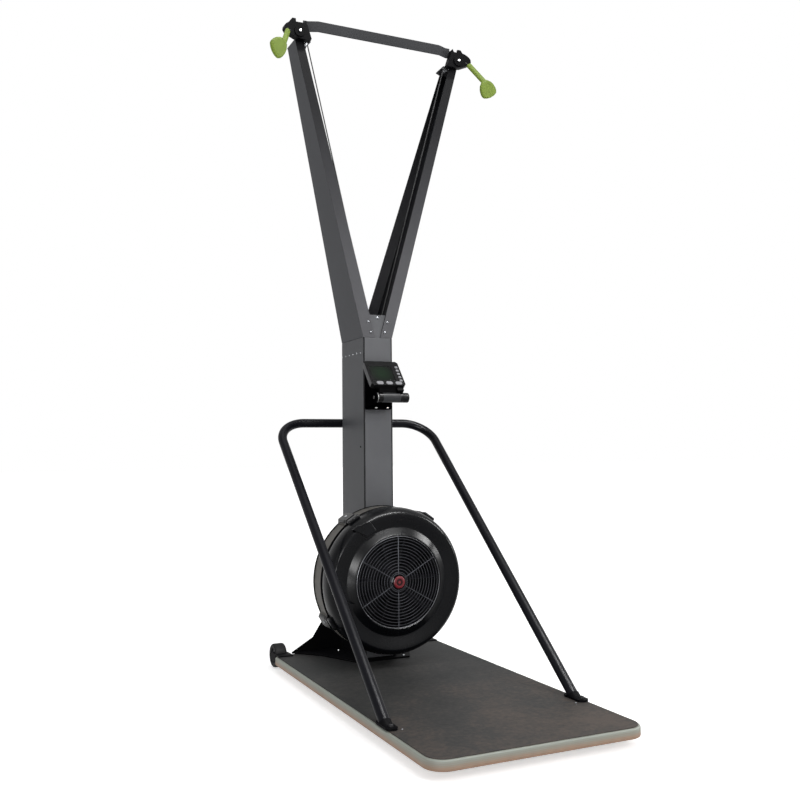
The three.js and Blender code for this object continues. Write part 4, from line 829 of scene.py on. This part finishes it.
tube = bmesh.new()
bmesh.ops.create_circle(tube, cap_ends=False, segments=36, radius=TUBE_RADIUS * MM)
lean = Vector((0, 0, 1)).rotation_difference(leg_way).to_matrix()
put(tube, at(-RAIL_HALF, *FOOT) - leg_way * SPARE * MM, lean)
straight = leg_length - BEND_RADIUS
inward = Vector((1, 0, 0))
turn_axis = leg_way.cross(inward)
ring = extend(tube, tube.edges[:], leg_way * (straight + SPARE) * MM)
corner = at(-RAIL_HALF, cross_y, CROSS_Z)
ring = bend(tube, ring, corner + (inward - leg_way) * BEND_RADIUS * MM, turn_axis)
ring = extend(tube, ring, inward * 2 * (RAIL_HALF - BEND_RADIUS) * MM)
corner = at(RAIL_HALF, cross_y, CROSS_Z)
ring = bend(tube, ring, corner - (inward + leg_way) * BEND_RADIUS * MM, turn_axis)
extend(tube, ring, -leg_way * (straight + SPARE) * MM)
bmesh.ops.remove_doubles(tube, verts=tube.verts, dist=0.01 * MM)
bmesh.ops.bisect_plane(
    tube, geom=tube.verts[:] + tube.edges[:] + tube.faces[:], plane_co=(0, 0, rail_low.z),
    plane_no=(0, 0, 1), clear_inner=True,
)
bmesh.ops.holes_fill(tube, edges=[e for e in tube.edges if e.is_boundary], sides=0)
piece(tube, "handrail_tube", "frame", [rail_coat], ["support_rail"], smooth_angle=50)
print("leg", round(leg_length), "mm")

# %% [markdown]
# ## Handles
# A pull handle is moulded in one shot, its oval stem bending into a flat paddle. The CAD solid
# joins the two with hard edges. A voxel remesh turns the copy into one even skin, and a few
# passes of smoothing melt the joint into a fillet, as a mould maker's radius would.

# %% Moulded handles
VOXEL, SMOOTHING = 1.2, 6
for side in ("left", "right"):
    body = f"handle_{side}"
    shape = piece(merged_copy(body), f"pull_{body}", body, [lime], [body])
    shape.modifiers.remove(shape.modifiers["weighted_normals"])
    skin = shape.modifiers.new("even_skin", "REMESH")
    skin.mode = "VOXEL"
    skin.voxel_size = VOXEL * MM
    skin.use_smooth_shade = True
    melt = shape.modifiers.new("fillets", "SMOOTH")
    melt.factor = 0.5
    melt.iterations = SMOOTHING
print("handles:", VOXEL, "mm skin")

# %% [markdown]
# ## Heads
# Each head is a deep black moulding round its pulley. The edges are rounded by 1.2 mm, and a
# bright hexagon bolt, with its washer, closes the boss.

# %% Heads and their bolts
WASHER_TOP, HEAD_EDGE, BOLT_SINK = 1.0, 1.2, 0.6


def hex_bolt(across, thick, washer):
    """Hexagon head on a washer, standing on z 0."""
    bm = bmesh.new()
    radius = across / math.sqrt(3) * MM
    bmesh.ops.create_cone(bm, cap_ends=True, segments=6, radius1=radius, radius2=radius, depth=thick * MM)
    put(bm, Vector((0, 0, thick / 2 * MM + WASHER_TOP * MM)))
    bevel_edges(bm, [e for e in bm.edges if all(v.co.z > thick * MM for v in e.verts)], 0.5)
    join_into(bm, turned([(0, 0), (washer, 0), (washer, 0.8), (washer - 0.3, 1.1), (0, 1.1)], 32))
    return bm


for side in ("left", "right"):
    bm = merged_copy(f"head_housing_{side}")
    bevel_edges(bm, sharp_edges(bm, angle=34, longer=4.0), HEAD_EDGE, 3)
    piece(bm, f"head_shell_{side}", "frame", [head_gloss], [f"head_housing_{side}"])
    wheel_low, wheel_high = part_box(f"head_pulley_{side}")
    shell_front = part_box(f"head_housing_{side}")[0].y
    centre = (wheel_low + wheel_high) / 2
    bolt_place = Vector((centre.x, shell_front + BOLT_SINK * MM, centre.z))
    bolt = put(hex_bolt(6, 2.8, 4.2), bolt_place, FACING_FRONT)
    piece(bolt, f"head_bolt_{side}", "frame", [zinc], smooth_angle=25)
print("head bolts at z", round(centre.z / MM))

# %% [markdown]
# ## Cords
# The drive cords are 4 mm braided polyester. A braid is two sets of strands that cross, so two
# slanted waves on object coordinates are laid over each other. The real strands are 0.4 mm;
# 3 mm ones still read as a weave from a step away.

# %% Braided cord
STRAND = 3
braid, tree, shader, place = start_material(
    "braided_polyester_black", Roughness=0.8, Specular_IOR_Level=0.3
)
crossed = []
for slant in (1, -1):
    strand_place = add_node(tree, "ShaderNodeMapping", {"Vector": place, "Scale": (slant, slant, 1)})
    wave = add_node(tree, "ShaderNodeTexWave", {
        "Vector": strand_place.outputs["Vector"], "Scale": ONE_WAVE * per_mm(STRAND),
    }, bands_direction="DIAGONAL")
    crossed.append(wave.outputs["Fac"])
weave = add_node(tree, "ShaderNodeMath", {0: crossed[0], 1: crossed[1]}, operation="MAXIMUM")
braid_tones = [(0.2, "#0d0d0e"), (0.9, "#232325")]
end_finish(tree, shader, weave.outputs[0], braid_tones, weave.outputs[0], 0.6, 0.3)
STILL_CORDS = ("drive_cord_left", "drive_cord_right", "return_cord")
for node in STILL_CORDS:
    piece(merged_copy(node), f"{node}_braid", "frame", [braid], [node], smooth_angle=60)
print("still cords:", len(STILL_CORDS))

# %% [markdown]
# The short cord at each mouth draws out with its handle. Its copy rides no body: the middle of its end ring
# and the way in from there are found, and the copy is baked where it stands.

# %% Cords that draw out
CORD_SIDES, BLEND_LENGTH = 8, 3
for side in ("left", "right"):
    node = f"cord_stub_{side}"
    stub = piece(merged_copy(node), f"{node}_braid", None, [braid], [node], smooth_angle=60)
    lowest = sorted((vertex.co.copy() for vertex in stub.data.vertices), key=lambda spot: spot.z)
    tip = sum(lowest[:CORD_SIDES], Vector()) / CORD_SIDES
    low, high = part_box(node)
    inward = ((low + high) / 2 - tip).normalized()
    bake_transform(stub)
print("cords that draw out: 2")

# %% [markdown]
# ## Transport wheels
# A wheel is a black rubber tyre on a dark rim. Tyre and rim are two profiles spun about the
# axle: the tyre with rounded shoulders, the rim with a dished side and a hub.

# %% Wheels
TYRE = [
    (27, -17), (30, -19), (35, -20.6), (38.4, -18), (39.6, -15), (40, -11), (40, 11), (39.6, 15), (38.4, 18),
    (35, 20.6), (30, 19), (27, 17),
]
RIM = [
    (6.3, -21), (11, -21), (12, -20), (12.6, -13), (24, -13), (25.4, -17.6), (26.8, -17.6), (26.8, 17.6),
    (25.4, 17.6), (24, 13), (12.6, 13), (12, 20), (11, 21), (6.3, 21),
]
for side in ("left", "right"):
    body, node = f"transport_wheel_{side}", f"wheel_{side}"
    low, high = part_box(node)
    centre = (low + high) / 2
    tyre = put(turned(TYRE + TYRE[:1], 72), centre, FACING_RIGHT)
    piece(tyre, f"tyre_{side}", body, [rubber], [node], smooth_angle=50)
    rim = put(turned(RIM + RIM[:1], 48), centre, FACING_RIGHT)
    piece(rim, f"wheel_rim_{side}", body, [rim_plastic], smooth_angle=40)
print("wheel centre", [round(v / MM) for v in centre])

# %% [markdown]
# ## Monitor
# The case leans back by 40.7 degrees about its lower edge. It is easiest to shape a piece
# square to the case's own face and then lean it, so one matrix carries face coordinates to
# their place: x to the right, y into the case, z up the face. The left side of the case is a
# paler shell.

# %% Case
CASE_LEAN, CASE_SIDE = 40.7, -55
FACE = Matrix.Translation(at(0, 926.3, 1000.4)) @ Matrix.Rotation(math.radians(-CASE_LEAN), 4, "X")


def on_face(bm, x=0.0, y=0.0, z=0.0):
    """Moves a mesh made square to the face to its place on the leaning case."""
    bmesh.ops.translate(bm, vec=(x * MM, y * MM, z * MM), verts=bm.verts)
    bmesh.ops.transform(bm, matrix=FACE, verts=bm.verts)
    return bm


case = merged_copy("monitor_case")
bevel_edges(case, sharp_edges(case, angle=40, longer=5.0), 0.7, 3)
shell = piece(case, "monitor_shell", "monitor", [case_grey, edge_grey], ["monitor_case"])
left_side = FACE.to_3x3() @ Vector((-1, 0, 0))
for face in shell.data.polygons:
    if face.normal.dot(left_side) > 0.9 and face.center.x < CASE_SIDE * MM:
        face.material_index = 1
print("case faces:", len(shell.data.polygons))

# %% [markdown]
# The display is off: a dark green window, darkened towards its edges by painted shade from its frame, so it
# is greenest in the middle. Its clear lens is smooth, so a low roughness gives the shine, and four thin bars
# make the raised step that frames it.

# %% Display window
WINDOW, WINDOW_X = (80, 1.2, 64.5), -11
FRAME_SHADE_SCALE = 22  # the green fades out about 45 mm from the middle
display, tree, shader, place = start_material("lcd_window_green", Roughness=0.15, Specular_IOR_Level=0.08)
centred = add_node(tree, "ShaderNodeMapping", {
    "Vector": place, "Location": -(FACE @ Vector((WINDOW_X * MM, 0, 0))),
})
scaled = add_node(tree, "ShaderNodeMapping", {
    "Vector": centred.outputs["Vector"], "Scale": (FRAME_SHADE_SCALE, FRAME_SHADE_SCALE, FRAME_SHADE_SCALE),
})
# Painted shade of the frame: the green darkens away from the window's middle.
frame_shade = add_node(tree, "ShaderNodeTexGradient", {
    "Vector": scaled.outputs["Vector"],
}, gradient_type="SPHERICAL")
tones = add_node(tree, "ShaderNodeValToRGB", {"Fac": frame_shade.outputs["Fac"]})
set_ramp(tones, [(0.0, "#070d09"), (0.75, "#102513")])
tree.links.new(tones.outputs["Color"], shader.inputs["Base Color"])
window = on_face(block(WINDOW, 0.4, 2), WINDOW_X, 0.75, -1.25)
piece(window, "display_window", "monitor", [display], ["monitor_screen"])
FRAME_BARS = {
    "top": ((92, 1.6, 5), (WINDOW_X, 0.1, 34.2)), "bottom": ((92, 1.6, 4), (WINDOW_X, 0.1, -36.2)),
    "left": ((5, 1.6, 74.4), (-54.4, 0.1, -1)), "right": ((5, 1.6, 74.4), (32.4, 0.1, -1)),
}
for name, (size, spot) in FRAME_BARS.items():
    piece(on_face(block(size, 0.5, 2), *spot), f"display_frame_{name}", "monitor", [case_grey])
print("window", WINDOW[0], "x", WINDOW[2], "mm")

# %% [markdown]
# The keys are soft silicone pads. A pad is a block whose upright edges are rounded widely and
# whose face is crowned with a small bevel. Each rides on its own key body, so it can travel.

# %% Keys
KEY_THICK, KEY_CROWN = 3, 0.9


def key_pad(node, width, height, corner):
    low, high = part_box(node)
    bm = bmesh.new()
    bmesh.ops.create_cube(bm, size=1)
    bmesh.ops.scale(bm, vec=(width * MM, KEY_THICK * MM, height * MM), verts=bm.verts)
    bevel_edges(bm, [e for e in bm.edges if abs(e.verts[0].co.y - e.verts[1].co.y) > MM], corner, 6)
    face_rim = [
        e for e in bm.edges
        if all(v.co.y < -1.4 * MM for v in e.verts) and e.calc_face_angle() > STEEP
    ]
    bevel_edges(bm, face_rim, KEY_CROWN, 3)
    put(bm, (low + high) / 2, FACE.to_3x3())
    piece(bm, f"{node}_pad", f"{node}_cap", [key_grey], [node])


for k in (1, 2, 3):
    key_pad(f"wide_key_{k}", 23.6, 13.6, 6.2)
for k in (1, 2, 3, 4, 5):
    key_pad(f"menu_key_{k}", 10.6, 8.6, 3.2)
print("keys: 8")

# %% [markdown]
# The tube below the case holds the batteries and is the hinge. It is turned from one profile.
# From the left it has a thin pin in the bracket's eye, a flange that carries a bright clip
# ring, a narrow neck, and the barrel with a grey sleeve and a groove near its right end. A
# small block joins it to the case.

# %% Battery tube
TUBE_AXIS = at(0, 905, 917.5)
PIN, NECK, BARREL_RADIUS = 6, 11, 16.5
SLEEVE_LEFT, SLEEVE_RIGHT = -20, 42
BARREL = [
    (0, -49.5), (5.6, -49.5), (PIN, -49), (PIN, -40.5), (16, -40.5), (BARREL_RADIUS, -40),
    (BARREL_RADIUS, -38.2), (16, -37.7), (NECK, -37.7), (NECK, -35), (15.6, -35), (BARREL_RADIUS, -34),
    (BARREL_RADIUS, SLEEVE_LEFT), (BARREL_RADIUS, SLEEVE_RIGHT), (BARREL_RADIUS, 54.7), (15.9, 55.5),
    (15.4, 55.7), (15.4, 57.3), (15.9, 57.5), (BARREL_RADIUS, 58.3), (BARREL_RADIUS, 70.5), (15.9, 72.1),
    (14.6, 73), (0, 73),
]
CLIP = [(16, -39.9), (16.8, -39.6), (16.8, -38.8), (16, -38.5), (16, -39.9)]
saddle = on_face(block((23, 22, 20), 1.5, 2), 41.5, 20, -60)
piece(saddle, "battery_saddle", "monitor", [case_grey])
barrel = piece(
    put(turned(BARREL, 64), TUBE_AXIS, FACING_RIGHT), "battery_barrel", "monitor",
    [barrel_black, sleeve_grey], ["battery_tube"], smooth_angle=40,
)
for face in barrel.data.polygons:
    face.material_index = int(SLEEVE_LEFT * MM < face.center.x < SLEEVE_RIGHT * MM)
clip = put(turned(CLIP, 48), TUBE_AXIS, FACING_RIGHT)
piece(clip, "battery_clip_ring", "monitor", [zinc])
print("barrel", 2 * BARREL_RADIUS, "mm across")

# %% [markdown]
# ## Fasteners
# Most rivets and screws are too small for the CAD solids, but they are what makes sheet metal
# read as assembled. A rivet is a low dome, a screw a dome with a round socket. Each is turned,
# faced the way its surface faces, and sunk a little into what it holds. The flanges of the
# arms lean forward a little, so a rivet on them stands nearer the front the higher it is.

# %% Rivets and screws
RIVET = [(0, -1), (1.0, -1), (1.0, 0.0), (0.86, 0.3), (0.6, 0.5), (0.3, 0.6), (0, 0.63)]
SOCKET = [(0, -1), (1.0, -1), (1.0, 0.2), (0.85, 0.55), (0.55, 0.7), (0.5, 0.7), (0.5, 0.3), (0, 0.3)]
FLATNESS = 0.7
PLATE_DEPTH, FLANGE_DEPTH, FLANGE_FOOT, FLANGE_LEAN = 985.1, 981.8, 1124, 0.0304
FLANGE_RIVETS = [(-34.6, 1177.3), (-25.6, 1142.7), (34.6, 1177.3), (25.6, 1142.7)]
FASTENERS = [("rivet_1", RIVET, 4.6, (0, PLATE_DEPTH, 1192), FACING_FRONT, rim_steel)]
for index, (x, z) in enumerate(FLANGE_RIVETS, 2):
    depth = FLANGE_DEPTH - (z - FLANGE_FOOT) * FLANGE_LEAN
    FASTENERS.append((f"rivet_{index}", RIVET, 4.6, (x, depth, z), FACING_FRONT, rim_steel))
FASTENERS += [
    ("column_screw", RIVET, 3.4, (-53, 1012, 756), FACING_LEFT, black_coat),
    ("bracket_screw_left", SOCKET, 3.8, (-21, 952, 884.2), FACING_FRONT, zinc),
    ("bracket_screw_right", SOCKET, 3.8, (21, 952, 884.2), FACING_FRONT, zinc),
    ("base_screw_1", SOCKET, 4.5, (-87, 1140, 58.2), FACING_UP, zinc),
    ("base_screw_2", SOCKET, 4.5, (87, 1140, 58.2), FACING_UP, zinc),
    ("base_screw_3", SOCKET, 4.5, (-80, 970, 58.2), FACING_UP, turned_steel),
    ("base_screw_4", SOCKET, 4.5, (80, 970, 58.2), FACING_UP, turned_steel),
]
for k in range(6):
    side_spot = (-53, 1008 + 33.5 * k, 1073.4)
    FASTENERS.append((f"side_rivet_{k + 1}", RIVET, 2.8, side_spot, FACING_LEFT, turned_steel))
for side, way in (("left", -1), ("right", 1)):
    FASTENERS += [
        (f"foot_screw_{side}", SOCKET, 5.8, (way * RAIL_HALF, 259.5, 63.6), FACING_UP, bracket_coat),
        (f"board_bolt_{side}", RIVET, 3.0, (way * 262, 250, 52.9), FACING_UP, rim_steel),
    ]
for name, profile, radius, spot, facing, material in FASTENERS:
    scaled = [(r * radius, h * radius * FLATNESS) for r, h in profile]
    piece(put(turned(scaled, 24), at(*spot), facing), name, "frame", [material], smooth_angle=40)
print("fasteners:", len(FASTENERS))

# %% [markdown]
# ## Floor and light
# The machine stands on a plain white floor under soft studio light. The world is white to the
# camera and to reflections, but dimmer as a lamp, so that colours come out as they are
# written. The floor adds a little glow of its own for the camera, which lifts it to white and
# still leaves the shadow. Three narrow lamps only add shine: they draw the thin lines of light
# on the tubes, and the sheen on the fan's chamfer.

# %% Floor
FLOOR_HALF, FLOOR_GAP = 30, 0.5


def looked_at(tree):
    """1 for the camera, reflections and glass, 0 where the surface only lights others."""
    ray = add_node(tree, "ShaderNodeLightPath")
    seen = ray.outputs["Is Camera Ray"]
    for kind in ("Is Glossy Ray", "Is Transmission Ray"):
        wider = add_node(tree, "ShaderNodeMath", {0: seen, 1: ray.outputs[kind]}, operation="MAXIMUM")
        seen = wider.outputs[0]
    return seen


floor_mesh = bmesh.new()
bmesh.ops.create_grid(floor_mesh, x_segments=1, y_segments=1, size=FLOOR_HALF)
floor_data = bpy.data.meshes.new("floor")
floor_mesh.to_mesh(floor_data)
floor_mesh.free()
floor = bpy.data.objects.new("floor", floor_data)
bpy.context.scene.collection.objects.link(floor)
floor.location.z = -FLOOR_GAP * MM
paper = bpy.data.materials.new("studio_paper")
paper.use_nodes = True
tree = paper.node_tree
tree.nodes.clear()
matt = add_node(tree, "ShaderNodeBsdfDiffuse", {"Color": (0.9, 0.9, 0.9, 1)})
spot = add_node(tree, "ShaderNodeTexCoord")
reach = add_node(tree, "ShaderNodeVectorMath", {0: spot.outputs["Object"]}, operation="LENGTH")
lift = add_node(tree, "ShaderNodeMapRange", {
    "Value": reach.outputs["Value"], "From Min": 0.8, "From Max": 4.0, "To Min": 0.58, "To Max": 0.8,
})
glow = add_node(tree, "ShaderNodeEmission", {"Color": (1, 1, 1, 1), "Strength": lift.outputs["Result"]})
lifted = add_node(tree, "ShaderNodeAddShader", {0: matt.outputs[0], 1: glow.outputs[0]})
chosen = add_node(tree, "ShaderNodeMixShader", {
    0: looked_at(tree), 1: matt.outputs[0], 2: lifted.outputs[0],
})
add_node(tree, "ShaderNodeOutputMaterial", {"Surface": chosen.outputs[0]})
floor_data.materials.append(paper)
print("floor", 2 * FLOOR_HALF, "m across")

# %% World and lamps
AS_LAMP, AS_SEEN = 0.45, 1.0
bpy.context.scene.view_settings.view_transform = "Standard"
world = bpy.data.worlds.new("studio")
bpy.context.scene.world = world
world.use_nodes = True
tree = world.node_tree
tree.nodes.clear()
strength = add_node(tree, "ShaderNodeMapRange", {
    "Value": looked_at(tree), "To Min": AS_LAMP, "To Max": AS_SEEN,
})
sky = add_node(tree, "ShaderNodeBackground", {"Color": (1, 1, 1, 1), "Strength": strength.outputs["Result"]})
add_node(tree, "ShaderNodeOutputWorld", {"Surface": sky.outputs[0]})


def soft_lamp(name, place, target, size, watts, only_shine=False):
    data = bpy.data.lights.new(name, "AREA")
    data.shape = "RECTANGLE"
    data.size, data.size_y = size
    data.energy = watts
    lamp = bpy.data.objects.new(name, data)
    bpy.context.scene.collection.objects.link(lamp)
    aim = (Vector(target) - Vector(place)).to_track_quat("-Z", "Y")
    lamp.matrix_world = Matrix.Translation(place) @ aim.to_matrix().to_4x4()
    lamp.visible_diffuse = not only_shine


soft_lamp("key_front", (1.6, -4.2, 3.0), (0, 0, 1.0), (2.6, 2.6), 105)
soft_lamp("fill_left", (-4.2, -1.2, 2.2), (0, 0, 1.0), (2.0, 3.0), 18)
soft_lamp("top_soft", (0, 0.2, 4.6), (0, 0, 0), (3.0, 3.0), 45)
soft_lamp("strip_right", (4.2, -0.9, 2.2), (0, 0.2, 0.4), (0.9, 2.2), 300, only_shine=True)
soft_lamp("strip_left", (-2.4, -3.2, 0.9), (0, 0.2, 0.4), (0.7, 1.8), 280, only_shine=True)
soft_lamp("strip_high", (0.4, -1.6, 4.2), (0, -0.3, 0.6), (3.4, 0.25), 600, only_shine=True)
print("lamps:", len(bpy.data.lights))
